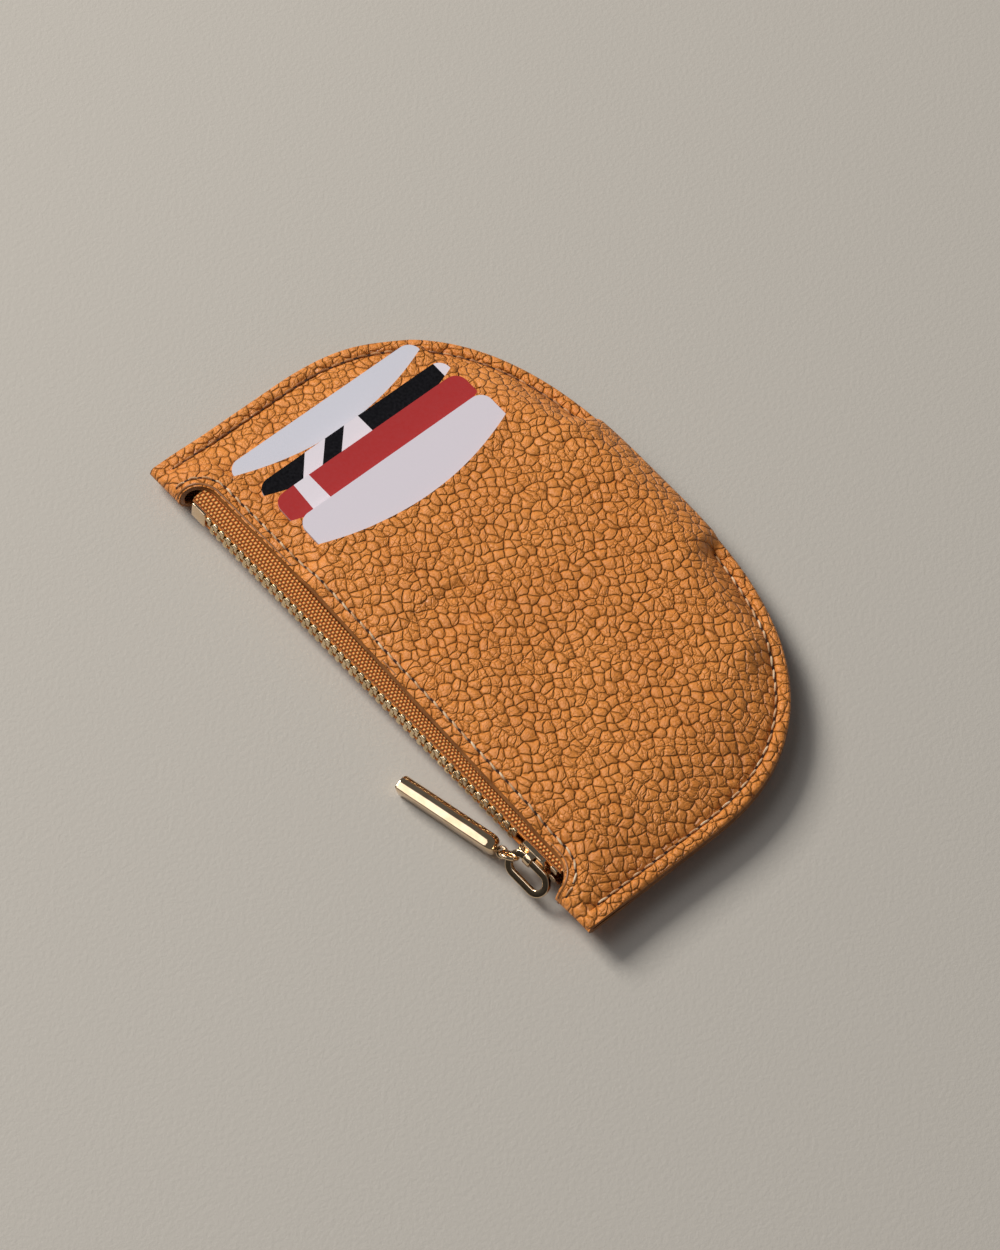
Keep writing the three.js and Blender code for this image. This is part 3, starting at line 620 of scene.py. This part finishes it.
def stitching():
    # the left rim's stitches take the darker thread colour as painted shade
    stitch_line(rim_path(-1), "rim_stitches_left", "rim_stitching_left", SHADED_THREAD_MATERIAL, radius=0.3)
    stitch_line(rim_path(1), "rim_stitches_right", "rim_stitching_right", THREAD_MATERIAL)
    stitch_line(window_path(1), "window_stitches_front", "window_stitching_front", THREAD_MATERIAL)
    stitch_line(window_path(-1), "window_stitches_back", "window_stitching_back", THREAD_MATERIAL)


# ---- Zip ----

CHAIN = (Matrix.Translation((0, CHAIN_V, CHAIN_Z)) @ Matrix.Rotation(CHAIN_SLOPE, 4, "Z")
         @ Matrix(((1, 0, 0, 0),
                   (0, math.sin(CHAIN_TURN), -math.cos(CHAIN_TURN), 0),
                   (0, math.cos(CHAIN_TURN), math.sin(CHAIN_TURN), 0),
                   (0, 0, 0, 1))))


def on_chain(part, x=0.0):
    return move(part, CHAIN @ Matrix.Translation((x, 0, 0)))


def chain_point(u, w):
    sine, cosine = math.sin(CHAIN_TURN), math.cos(CHAIN_TURN)
    return CHAIN_V + u * sine - w * cosine, CHAIN_Z + u * cosine + w * sine


TOOTH_SECTIONS = [(-0.78, 0.28, 0.34), (-0.62, 0.44, 0.56), (-0.2, 0.5, 0.72), (0.25, 0.46, 0.74),
                  (0.55, 0.42, 0.68), (0.8, 0.6, 0.8), (0.95, 0.68, 0.86), (1.75, 0.7, 0.86),
                  (1.98, 0.66, 0.8), (2.08, 0.52, 0.66)]


def tooth(row):
    """One tooth along u: a rounded head, a waist, and the wide foot crimped on the cord."""
    rings = []
    for u, half_x, half_w in TOOTH_SECTIONS:
        shape = rounded_rectangle(half_x, half_w, min(half_x, half_w) * 0.45, 3)
        rings.append([(a, row * u, b) for a, b in shape])
    return loft(rings)


def teeth(row, name, node):
    shift = 0 if row > 0 else PITCH / 2
    count = math.floor((CHAIN_END - CHAIN_START - 1.35 - shift) / PITCH)
    parts = []
    for i in range(count + 1):
        x = CHAIN_START + 0.675 + shift + i * PITCH
        parts.append(on_chain(tooth(row), x))
    points, faces = join(parts)
    return mesh(name, points, faces, [TEETH_MATERIAL], replaces=(node,), sharp=50)


def tape(name, node, line, beads):
    """A woven tape that follows points of its middle line, with a corded bead at its edge."""
    half = 0.25
    dense = resample([(0, v, z) for v, z in line], 0.35)[:, 1:]
    for _ in range(6):
        dense[1:-1] = (dense[:-2] + 2 * dense[1:-1] + dense[2:]) / 4
    tangents = np.gradient(dense, axis=0)
    tangents /= np.linalg.norm(tangents, axis=1)[:, None]
    normals = np.column_stack([-tangents[:, 1], tangents[:, 0]])
    ways = distances(dense)
    section = [(p + half * n, s) for p, n, s in zip(dense, normals, ways)]
    section += [(p - half * n, s) for p, n, s in zip(dense[::-1], normals[::-1], ways[::-1])]
    rings, flats = [], []
    for x in np.linspace(-62, 62, 125):
        aslant = x * math.tan(CHAIN_SLOPE)
        rings.append([(x, p[0] + aslant * float(clamp01((8 - p[0]) / 4)), p[1]) for p, _ in section])
        flats.extend((x, s, 0) for _, s in section)
    points, faces = loft(rings)
    cord = on_chain(tube([(x, beads, 0) for x in np.linspace(-61, 61, 60)], 0.42, sides=10))
    points, faces = join([(points, faces), cord])
    flats += [(p[0], -1.0, 0) for p in cord[0]]
    return mesh(name, points, faces, [TAPE_MATERIAL], replaces=(node,), flat=flats, sharp=60)


def gold(name, part, node, body="pouch", sharp=35):
    """A metal piece in place of one CAD node."""
    points, faces = part
    return mesh(name, points, faces, [GOLD_MATERIAL], body, (node,), sharp=sharp)


def block(half_x, half_u, half_w, corner, centre):
    outline = rounded_rectangle(half_x, half_u, corner, 3)
    return move(prism(outline, -half_w, half_w, corner * 0.7), Matrix.Translation(centre))


def zip_parts():
    teeth(1, "teeth_front", "zip_teeth_front_row")
    teeth(-1, "teeth_back", "zip_teeth_back_row")
    front = [chain_point(1.9, 0), chain_point(2.75, 0), (3.4, 8.78), (5.4, 8.7), (9.6, 7.2)]
    back = [chain_point(-1.9, 0), chain_point(-2.75, 0), (2.5, 2.4), (3.6, 2.3), (9.6, 2.3)]
    tape("woven_tape_front", "zip_tape_front", front, 1.75)
    tape("woven_tape_back", "zip_tape_back", back, -1.75)
    box = join([block(2.3, 2.2, 0.85, 0.3, (-59.3, 0, 0)), block(0.45, 0.5, 0.6, 0.2, (-56.75, 0.9, 0))])
    gold("bottom_stop", on_chain(box), "zip_bottom_stop", sharp=40)
    for row, sign in (("front", 1), ("back", -1)):
        stop = on_chain(block(1.0, 0.65, 0.8, 0.25, (60.4, sign * 1.5, 0)))
        gold("top_stop_" + row, stop, "zip_top_stop_" + row, sharp=40)


# ---- Slider and pull ----

def slider_outline(half_length, half_wide, narrow):
    """A shield: round at the mouth end, narrower at the closed end."""
    points = []
    for i in range(25):
        angle = -math.pi / 2 + i / 24 * math.pi
        points.append((half_length - 2.2 + 2.2 * math.cos(angle), half_wide * math.sin(angle)))
    for i in range(17):
        angle = math.pi / 2 + i / 16 * math.pi
        points.append((-half_length + 1.4 + 1.4 * math.cos(angle), narrow * math.sin(angle)))
    return points


def slider():
    plate = slider_outline(4.3, 2.7, 2.35)
    top = prism(plate, 1.0, 1.9, 0.28)
    rail = prism(rounded_rectangle(3.3, 0.22, 0.18), -0.55, 0.75, 0.12)
    rails = [move(rail, Matrix.Translation((-0.2, side * 2.4, 1.05))) for side in (-1, 1)]
    curve = [(1.3 * math.cos(a), 2.45 + 1.3 * math.sin(a)) for a in np.linspace(0, math.pi, 21)]
    arch = [(1.3, 1.8), *curve, (-1.3, 1.8)]
    wide = rounded_rectangle(0.28, 0.95, 0.16, 3)
    rings = []
    for i, (u, w) in enumerate(arch):
        before, after = arch[max(0, i - 1)], arch[min(len(arch) - 1, i + 1)]
        along = Vector((0, after[0] - before[0], after[1] - before[1])).normalized()
        across = along.cross(Vector((1, 0, 0))).normalized()
        rings.append([Vector((0, u + CROWN_U, w)) + a * across + b * Vector((1, 0, 0)) for a, b in wide])
    upper = on_chain(join([top, *rails, loft(rings)]), SLIDER_X)
    gold("slider_top", upper, "slider_front_plate", "slider")
    rails = [move(rail, Matrix.Translation((-0.2, side * 2.4, -1.25))) for side in (-1, 1)]
    under = on_chain(join([prism(plate, -1.9, -1.0, 0.28), *rails]), SLIDER_X)
    gold("slider_under", under, "slider_back_plate", "slider")


def stadium(straight, radius, steps=20):
    points = []
    for i in range(steps + 1):
        angle = -math.pi / 2 + math.pi * i / steps
        points.append((straight / 2 + radius * math.cos(angle), radius * math.sin(angle)))
    for i in range(steps + 1):
        angle = math.pi / 2 + math.pi * i / steps
        points.append((-straight / 2 + radius * math.cos(angle), radius * math.sin(angle)))
    return points


def basis(first, second, origin):
    x = Vector(first).normalized()
    z = x.cross(Vector(second)).normalized()
    y = z.cross(x)
    rows = [(x[k], y[k], z[k], origin[k]) for k in range(3)]
    return Matrix((*rows, (0, 0, 0, 1)))


def flat_ring(straight, radius, half_thick, half_deep, corner):
    """A ring of rounded-rectangle section, round the z axis."""
    middle = stadium(straight, radius, 24)
    section = rounded_rectangle(half_thick, half_deep, corner, 3)
    rings = []
    for a, b in section:
        rings.append([(x, y, b) for x, y in inset_outline(middle, -a)])
    # rings run round the section: turn them so that each ring is one section
    return loft([[ring[i] for ring in rings] for i in range(len(middle))], loop=True)


SLANT = Matrix.Rotation(CHAIN_SLOPE, 3, "Z")
ALONG = SLANT @ Vector((1, 0, 0))
CROWN_U = 0.9
RING_STRAIGHT, RING_ROUND, LOOP_ROUND = 5.8, 2.45, 1.9
HINGE = CHAIN @ Vector((SLIDER_X, CROWN_U, 2.75))
LINK_DOWN = SLANT @ Vector((0, -0.7, -math.sqrt(1 - 0.7 ** 2)))
LINK_MIDDLE = HINGE + RING_ROUND * LINK_DOWN + 1.6 * ALONG
LINK_END = LINK_MIDDLE - (RING_STRAIGHT / 2 + RING_ROUND) * ALONG
LOOP_WAY = Vector((-0.93, -0.25, -0.27)).normalized()
LOOP_SIDE = Vector((0, 0.714, -0.7)).normalized()
LOOP_MIDDLE = LINK_END + 0.6 * LOOP_WAY
BAR_EYE = LOOP_MIDDLE + LOOP_ROUND * LOOP_WAY
BAR_WAY = Vector((-28.1, -6.2, -1.8)).normalized()
BAR_ROLL = math.radians(-9)
# along the bar from its eye, then the scale of the section and its shift towards the flat face
BAR_STATIONS = [(1.5, 0.35, -0.6), (1.62, 0.56, -0.6), (1.9, 0.74, -0.5), (2.3, 0.87, -0.4),
                (2.9, 0.96, -0.2), (3.6, 1, 0), (12, 1, 0), (20, 1, 0), (27.6, 1, 0),
                (27.82, 0.985, 0), (27.95, 0.955, 0), (28.0, 0.9, 0)]


def bar_section(scale, shift):
    """A D: flat face at -x, round back at +x; scale narrows it and shift moves it towards the flat."""
    points = []
    corner = 0.28
    high, front, back = 2.45, 1.75, 2.5
    for i in range(25):
        angle = -math.pi * 0.62 + i / 24 * math.pi * 1.24
        points.append((-0.1 + back * math.cos(angle), high * math.sin(angle)))
    low = high * math.sin(math.pi * 0.62)
    points.append((-front + corner, low))
    points.append((-front + 0.06, low - 0.12))
    points.append((-front, low - 0.35))
    points.append((-front, -low + 0.35))
    points.append((-front + 0.06, -low + 0.12))
    points.append((-front + corner, -low))
    return [(shift + (x - shift) * scale, y * scale) for x, y in points]


def pull():
    ring = move(flat_ring(RING_STRAIGHT, RING_ROUND, 0.84, 0.6, 0.24), basis(ALONG, LINK_DOWN, LINK_MIDDLE))
    gold("link_ring_polished", ring, "pull_link_ring", "link_ring")
    turns = np.linspace(0, 2 * math.pi, 41)[:-1]
    circle = [(LOOP_ROUND * math.cos(a), LOOP_ROUND * math.sin(a), 0) for a in turns]
    loop = move(tube(circle, 0.5, sides=12, loop=True), basis(LOOP_WAY, LOOP_SIDE, LOOP_MIDDLE))
    gold("jump_loop", loop, "pull_loop", "loop", sharp=40)
    body = loft([[(x, a, b) for a, b in bar_section(scale, shift)] for x, scale, shift in BAR_STATIONS])
    body = move(body, Matrix.Rotation(BAR_ROLL, 4, "X"))
    first, second = Vector((1, 0, 0)), Vector((0, 0.7, -0.714)).normalized()
    turns = np.linspace(0, 2 * math.pi, 33)[:-1]
    circle = [1.15 * (math.cos(a) * first + math.sin(a) * second) for a in turns]
    eye = tube(circle, 0.36, sides=10, loop=True)
    bar = move(join([body, eye]), basis(BAR_WAY, (0, 1, 0), BAR_EYE))
    gold("pull_bar_polished", bar, "pull_bar", "bar")


# ---- Materials ----

class Nodes:
    """A small helper for building a material's nodes."""

    def __init__(self, name):
        self.material = bpy.data.materials.new(name)
        self.material.use_nodes = True
        self.tree = self.material.node_tree
        self.shader = self.tree.nodes["Principled BSDF"]

    def node(self, kind, settings=None, **inputs):
        made = self.tree.nodes.new("ShaderNode" + kind)
        for key, value in (settings or {}).items():
            setattr(made, key, value)
        for key, value in inputs.items():
            self.put(made, key, value)
        return made

    def put(self, node, key, value):
        by_number = key[0] == "_" and key[1:].isdigit()
        socket = node.inputs[int(key[1:]) if by_number else key.replace("_", " ")]
        if isinstance(value, bpy.types.NodeSocket):
            self.tree.links.new(value, socket)
        else:
            socket.default_value = value

    def place(self):
        return self.node("TexCoord").outputs["Object"]

    def math(self, operation, a, b=0.0, c=None, clamp=False):
        made = self.node("Math", {"operation": operation, "use_clamp": clamp}, _0=a, _1=b)
        if c is not None:
            self.put(made, "_2", c)
        return made.outputs[0]

    def ramp(self, value, stops, smooth_=True):
        made = self.node("ValToRGB", None, Fac=value)
        made.color_ramp.interpolation = "EASE" if smooth_ else "LINEAR"
        elements = made.color_ramp.elements
        while len(elements) < len(stops):
            elements.new(0.5)
        for element, (at, colour) in zip(elements, stops):
            element.position = at
            element.color = (*colour, 1) if len(colour) == 3 else colour
        return made.outputs[0]

    def mix(self, share, a, b, blend="MIX"):
        made = self.node("Mix", {"data_type": "RGBA", "blend_type": blend})
        self.put(made, "_0", share)
        self.put(made, "_6", a)
        self.put(made, "_7", b)
        return made.outputs[2]

    def noise(self, vector, scale, detail=2.0, rough=0.5, dims="3D"):
        made = self.node("TexNoise", {"noise_dimensions": dims}, Vector=vector, Scale=scale, Detail=detail,
                         Roughness=rough)
        return made.outputs["Fac"]

    def bump(self, height, distance, strength=1.0):
        return self.node("Bump", None, Height=height, Distance=distance, Strength=strength).outputs[0]

    def set(self, **inputs):
        for key, value in inputs.items():
            self.put(self.shader, key, value)


def linear(red, green, blue):
    """Screen levels from 0 to 255 as linear light."""
    levels = (red / 255, green / 255, blue / 255)
    return tuple(((c + 0.055) / 1.055) ** 2.4 if c > 0.04 else c / 12.92 for c in levels)


def rgba(red, green, blue):
    return (*linear(red, green, blue), 1)


def leather_material():
    made = Nodes("pebbled_leather")
    flat = made.node("Attribute", {"attribute_name": "flat"}).outputs["Vector"]

    def vector(operation, first, second):
        return made.node("VectorMath", {"operation": operation}, _0=first, _1=second).outputs[0]

    def wander(scale, detail, reach):
        """A slow shift sideways of up to about half of reach."""
        tone = made.node("TexNoise", {"noise_dimensions": "2D"}, Vector=flat, Scale=scale, Detail=detail)
        shift = vector("SUBTRACT", tone.outputs["Color"], (0.5, 0.5, 0.5))
        return vector("MULTIPLY", shift, (reach, reach, 0))

    bent = vector("ADD", vector("ADD", flat, wander(0.22, 2.0, 2.2)), wander(1.1, 1.0, 0.22))

    def pebbles(scale, stretch, turn, width, power, random):
        """Rounded cushions with sharp valleys between them, about 0 in a valley and 1 on top."""
        turned = made.node("Mapping", {"vector_type": "POINT"}, Vector=bent, Rotation=(0, 0, turn),
                           Scale=(stretch, 1, 1))
        away = made.node("TexVoronoi", {"voronoi_dimensions": "2D", "feature": "DISTANCE_TO_EDGE"},
                         Vector=turned.outputs[0], Scale=scale, Randomness=random).outputs["Distance"]
        centre = made.node("TexVoronoi", {"voronoi_dimensions": "2D"}, Vector=turned.outputs[0], Scale=scale,
                           Randomness=random).outputs["Distance"]
        side = made.math("SUBTRACT", 1.0, made.math("MULTIPLY", away, width, clamp=True))
        shoulder = made.math("SUBTRACT", 1.0, made.math("POWER", side, power))
        dome = made.math("SUBTRACT", 1.0, made.math("MULTIPLY", made.math("MULTIPLY", centre, centre), 1.5))
        return made.math("ADD", made.math("MULTIPLY", shoulder, 0.4), made.math("MULTIPLY", dome, 0.6))

    large = pebbles(0.46, 0.88, 0.5, 6.5, 1.7, 0.76)
    medium = pebbles(0.88, 0.9, 1.3, 6.0, 1.7, 0.8)
    where = made.ramp(made.noise(flat, 0.16, 2.0, dims="2D"), [(0.36, (0.06,) * 3), (0.64, (0.26,) * 3)])
    height = made.math("ADD", made.math("MULTIPLY", large, made.math("SUBTRACT", 1.0, where)),
                       made.math("MULTIPLY", medium, where))
    fine = made.noise(bent, 2.4, 4.0, 0.62, dims="2D")
    relief = made.math("ADD", height, made.math("MULTIPLY", fine, 0.16))
    normal = made.bump(relief, 0.00105, 1.0)
    body = made.ramp(made.noise(flat, 0.05, 3.0, dims="2D"),
                     [(0.3, linear(228, 134, 52)), (0.7, linear(238, 144, 60))])
    tops = made.mix(made.math("MULTIPLY", fine, 0.4), body, rgba(255, 184, 100))
    # painted shade: the base colour is darkened down in the creases between the pebbles, where shade falls
    crease_shade = made.ramp(height, [(0.1, (0.72, 0.6, 0.5)), (0.45, (0.93, 0.9, 0.87)), (0.66, (1.0, 1.0, 1.0))],
                       False)
    colour = made.mix(1.0, tops, crease_shade, "MULTIPLY")
    rough = made.math("MULTIPLY_ADD", fine, 0.2, 0.3)
    made.set(Base_Color=colour, Roughness=rough, Normal=normal)
    made.shader.inputs["Specular IOR Level"].default_value = 0.42
    return made.material


def edge_material():
    made = Nodes("painted_leather_edge")
    place = made.place()
    tone = made.noise(place, 260.0, 3.0)
    colour = made.ramp(tone, [(0.3, linear(134, 82, 36)), (0.7, linear(160, 102, 50))])
    made.set(Base_Color=colour, Roughness=made.math("MULTIPLY_ADD", tone, 0.2, 0.3),
             Normal=made.bump(made.noise(place, 900.0, 2.0), 0.00006, 0.5))
    return made.material


def suede_material():
    made = Nodes("leather_flesh_side")
    place = made.place()
    nap = made.noise(place, 1800.0, 4.0, 0.7)
    colour = made.ramp(nap, [(0.3, linear(116, 70, 36)), (0.7, linear(150, 98, 56))])
    made.set(Base_Color=colour, Roughness=0.95, Normal=made.bump(nap, 0.0001, 0.7))
    return made.material


def cloth_material(name, dark, light, threads=1400.0):
    made = Nodes(name)
    place = made.place()
    split = made.node("SeparateXYZ", None, Vector=place)
    warp = made.math("ABSOLUTE", made.math("SINE", made.math("MULTIPLY", split.outputs[0], threads * 3)))
    weft = made.math("ABSOLUTE", made.math("SINE", made.math("MULTIPLY", split.outputs[1], threads * 3)))
    weave = made.math("MULTIPLY", warp, weft)
    colour = made.ramp(weave, [(0.0, dark), (0.9, light)])
    made.set(Base_Color=colour, Roughness=0.9, Normal=made.bump(weave, 0.0001, 0.6))
    return made.material


def tape_material():
    """Woven tape: ribs beside the teeth, then rows of bundled weft with painted shade in the gaps between
    them.
    """
    made = Nodes("woven_zip_tape")
    flat = made.node("Attribute", {"attribute_name": "flat"}).outputs["Vector"]
    split = made.node("SeparateXYZ", None, Vector=flat)
    along, across = split.outputs[0], split.outputs[1]
    wave = made.math("MULTIPLY", made.math("SUBTRACT", made.noise(flat, 0.8, 1.0, dims="2D"), 0.5), 0.15)
    row = made.math("DIVIDE", made.math("ADD", across, wave), 0.7)
    row_index = made.math("FLOOR", row)
    row_part = made.math("FRACT", row)
    offset = made.math("MULTIPLY", row_index, 0.5)
    cell = made.math("ADD", along, offset)
    cell_part = made.math("FRACT", cell)

    def hump(part, power):
        edge = made.math("MULTIPLY_ADD", part, 2.0, -1.0)
        return made.math("SUBTRACT", 1.0, made.math("POWER", made.math("ABSOLUTE", edge), power))

    basket = made.math("MULTIPLY", hump(row_part, 1.9), hump(cell_part, 1.6))
    ribs = made.math("DIVIDE", across, 0.36)
    rib = hump(made.math("FRACT", ribs), 1.4)
    twist = hump(made.math("FRACT", made.math("ADD", made.math("DIVIDE", along, 0.5), ribs)), 1.4)
    rib = made.math("MULTIPLY", rib, made.math("MULTIPLY_ADD", twist, 0.3, 0.7))
    ribbed = made.math("LESS_THAN", across, 0.5)
    weave = made.math("ADD", made.math("MULTIPLY", rib, ribbed),
                      made.math("MULTIPLY", basket, made.math("SUBTRACT", 1.0, ribbed)))
    fuzz = made.noise(flat, 9.0, 3.0, dims="2D")
    # painted shade and highlight: the colour follows the weave's height, darkest in the gaps between the
    # yarns and palest on their crowns
    colour = made.ramp(weave, [(0.0, linear(96, 36, 6)), (0.2, linear(196, 92, 18)),
                               (0.45, linear(248, 142, 42)), (0.9, linear(255, 206, 124))], False)
    colour = made.mix(made.math("MULTIPLY", fuzz, 0.2), colour, rgba(222, 124, 40))
    height = made.math("ADD", weave, made.math("MULTIPLY", fuzz, 0.2))
    made.set(Base_Color=colour, Roughness=0.72, Normal=made.bump(height, 0.00042, 1.0))
    return made.material


def thread_material(name, dark, light):
    made = Nodes(name)
    place = made.place()
    tone = made.noise(place, 300.0, 2.0)
    colour = made.ramp(tone, [(0.35, dark), (0.65, light)])
    strand = made.node("TexWave", {"bands_direction": "DIAGONAL"}, Vector=place, Scale=900.0,
                       Distortion=1.0).outputs["Fac"]
    made.set(Base_Color=colour, Roughness=0.6, Normal=made.bump(strand, 0.00005, 0.6))
    return made.material


# painted shade: dark brown for the shade inside the needle holes
def hole_shade_material():
    made = Nodes("needle_hole_shade")
    place = made.place()
    colour = made.ramp(made.noise(place, 900.0, 2.0), [(0.3, linear(40, 18, 7)), (0.7, linear(70, 34, 14))])
    made.set(Base_Color=colour, Roughness=0.9)
    return made.material


def metal_material(name, low, high, rough, scratch=0.00001):
    made = Nodes(name)
    place = made.place()
    tone = made.noise(place, 300.0, 3.0)
    colour = made.ramp(tone, [(0.3, low), (0.7, high)])
    wear = made.noise(place, 1200.0, 3.0, 0.6)
    made.set(Base_Color=colour, Roughness=made.math("MULTIPLY_ADD", wear, rough * 0.6, rough * 0.7),
             Normal=made.bump(wear, scratch, 0.4))
    made.shader.inputs["Metallic"].default_value = 1.0
    return made.material


def card_material(name, base, bands=(), edge=None):
    """A printed card; a band is (low line, high line, colour), and a line (a, b) is v = a + b x; edge is a
    painted highlight colour for the side faces.
    """
    made = Nodes(name)
    place = made.place()
    split = made.node("SeparateXYZ", None, Vector=place)
    x = made.math("MULTIPLY", split.outputs[0], 1000.0)
    v = made.math("MULTIPLY_ADD", split.outputs[1], 1000.0, REST_V)
    tone = made.noise(place, 1500.0, 2.0)
    colour = made.mix(made.math("MULTIPLY", tone, 0.05), rgba(*base), rgba(170, 170, 180))
    for low, high, white in bands:
        above = made.math("GREATER_THAN", v, made.math("MULTIPLY_ADD", x, low[1], low[0]))
        below = made.math("LESS_THAN", v, made.math("MULTIPLY_ADD", x, high[1], high[0]))
        colour = made.mix(made.math("MULTIPLY", above, below), colour, rgba(*white))
    # painted highlight: the side faces take the pale edge colour, for the light caught along the card's
    # edges
    if edge is not None:
        normal = made.node("NewGeometry").outputs["Normal"]
        facing = made.math("ABSOLUTE", made.node("SeparateXYZ", None, Vector=normal).outputs[2])
        colour = made.mix(made.math("LESS_THAN", facing, 0.7), colour, rgba(*edge))
    made.set(Base_Color=colour, Roughness=made.math("MULTIPLY_ADD", tone, 0.08, 0.36),
             Normal=made.bump(tone, 0.000004, 0.3))
    made.shader.inputs["Specular IOR Level"].default_value = 0.0
    return made.material


def give(node, material):
    """A carried-over CAD node gets a finished material in its slots."""
    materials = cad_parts[node].data.materials
    if not len(materials):
        materials.append(material)
    for i in range(len(materials)):
        materials[i] = material


def line_through(a, b):
    """(a, b) of v = a + b x through two (x, v) points."""
    slope = (b[1] - a[1]) / (b[0] - a[0])
    return a[1] - slope * a[0], slope


LEATHER_MATERIAL = leather_material()
EDGE_MATERIAL = edge_material()
SUEDE_MATERIAL = suede_material()
TAPE_MATERIAL = tape_material()
THREAD_MATERIAL = thread_material("waxed_thread", linear(198, 148, 98), linear(240, 214, 176))
# painted shade: the same cream thread made darker brown, for the shade the left rim's stitches lie in
SHADED_THREAD_MATERIAL = thread_material("painted_shade_thread", linear(128, 74, 34), linear(206, 150, 96))
HOLE_SHADE_MATERIAL = hole_shade_material()
GOLD_MATERIAL = metal_material("pale_gold", linear(226, 196, 158), linear(238, 212, 178), 0.08, 0.000002)
TEETH_MATERIAL = metal_material("tooth_metal", linear(214, 188, 146), linear(238, 214, 174), 0.2, 0.00001)
WHITE = (238, 231, 238)


def cards():
    give("card_1", card_material("card_blue_grey", (220, 221, 231)))
    black = [
        (line_through((-55.0, 27.2), (-50.4, 23.2)), line_through((-54.6, 32.7), (-50.7, 29.1)), WHITE),
        (line_through((-54.9, 38.5), (-50.7, 34.6)), line_through((-55.0, 42.7), (-51.1, 42.8)), WHITE),
        ((64.8, 0.0), (90.0, 0.0), WHITE),
    ]
    # the black and red cards get a painted highlight colour on their side faces
    give("card_2", card_material("card_black", (5, 5, 7), black, edge=(220, 216, 222)))
    red = [(line_through((-49.3, 19.4), (-41.9, 19.0)), line_through((-49.3, 23.7), (-41.9, 23.9)), WHITE)]
    give("card_3", card_material("card_red", (182, 55, 54), red, edge=(226, 190, 192)))
    give("card_4", card_material("card_white", (231, 224, 232)))


def linings():
    lining = cloth_material("lining_cloth", linear(96, 60, 34), linear(140, 92, 56))
    for node in ("compartment_front_lining", "compartment_back_lining",
                 *("card_pocket_lining_%d" % k for k in (1, 2, 3, 4))):
        give(node, lining)
    give("slip_pocket_divider", SUEDE_MATERIAL)


# ---- Stage ----

def floor_material():
    made = Nodes("pale_table")
    place = made.place()
    fine = made.noise(place, 900.0, 4.0, 0.6)
    slow = made.noise(place, 2.0, 2.0)
    colour = made.mix(slow, rgba(197, 192, 182), rgba(201, 196, 186))
    made.set(Base_Color=colour, Roughness=0.75, Normal=made.bump(fine, 0.00022, 0.5))
    return made.material


def area_light(name, place, target, size, power, colour=(1, 1, 1)):
    data = bpy.data.lights.new(name, "AREA")
    data.shape = "RECTANGLE"
    data.size, data.size_y = size
    data.energy = power
    data.color = colour
    light = bpy.data.objects.new(name, data)
    light.location = place
    light.rotation_euler = (Vector(target) - Vector(place)).to_track_quat("-Z", "Y").to_euler()
    bpy.context.collection.objects.link(light)
    return light


def surface(name, corners, material):
    """A flat piece of the stage, in metres."""
    data = bpy.data.meshes.new(name)
    data.from_pydata(corners, [], [(0, 1, 2, 3)])
    data.materials.append(material)
    made = bpy.data.objects.new(name, data)
    bpy.context.collection.objects.link(made)


FLOOR_HALF = 3.0


def stage():
    turns = ((-1, -1), (1, -1), (1, 1), (-1, 1))
    surface("table_top", [(a * FLOOR_HALF, b * FLOOR_HALF, 0) for a, b in turns], floor_material())
    world = bpy.data.worlds.new("studio")
    world.use_nodes = True
    world.node_tree.nodes["Background"].inputs[0].default_value = (0.95, 0.97, 1.0, 1)
    world.node_tree.nodes["Background"].inputs[1].default_value = 0.11
    bpy.context.scene.world = world
    area_light("key", (-2.2, -0.45, 1.85), (0, 0, 0), (1.15, 1.15), 75.0, (1.0, 0.965, 0.93))
    # a small light above the pull, for the bright band along the bar
    area_light("band", (-0.52, -0.48, 1.3), (0, 0, 0), (0.9, 0.9), 4.0, (1.0, 0.97, 1.0))
    # a dark card out of view, for the metal to reflect
    shade = Nodes("dark_flag")
    shade.set(Base_Color=(0.01, 0.01, 0.01, 1))
    corners = [(-1.6, -1.5, 0.02), (1.8, -1.5, 0.02), (1.8, -1.5, 0.9), (-1.6, -1.5, 0.9)]
    surface("dark_flag", corners, shade.material)
    bpy.context.scene.view_settings.view_transform = "Standard"


ELEVATION, TURN, DISTANCE = math.radians(61), math.radians(50.25), 0.841
TARGET = Vector((0.0037, -0.008, 0.0))
SENSOR_MM, LENS_MM = 24.0, 72.096


def camera():
    data = bpy.data.cameras.new("camera")
    data.sensor_fit = "VERTICAL"
    data.sensor_height = SENSOR_MM
    data.lens = LENS_MM
    data.clip_start, data.clip_end = 0.05, 20
    made = bpy.data.objects.new("camera", data)
    forward = Vector((-math.sin(TURN), math.cos(TURN), 0))
    look = math.cos(ELEVATION) * forward - Vector((0, 0, math.sin(ELEVATION)))
    made.location = TARGET - DISTANCE * look
    made.rotation_euler = look.to_track_quat("-Z", "Y").to_euler()
    bpy.context.collection.objects.link(made)
    bpy.context.scene.camera = made


camera()
stage()
leather_shell()
window_band()
stitching()
zip_parts()
slider()
pull()
cards()
linings()
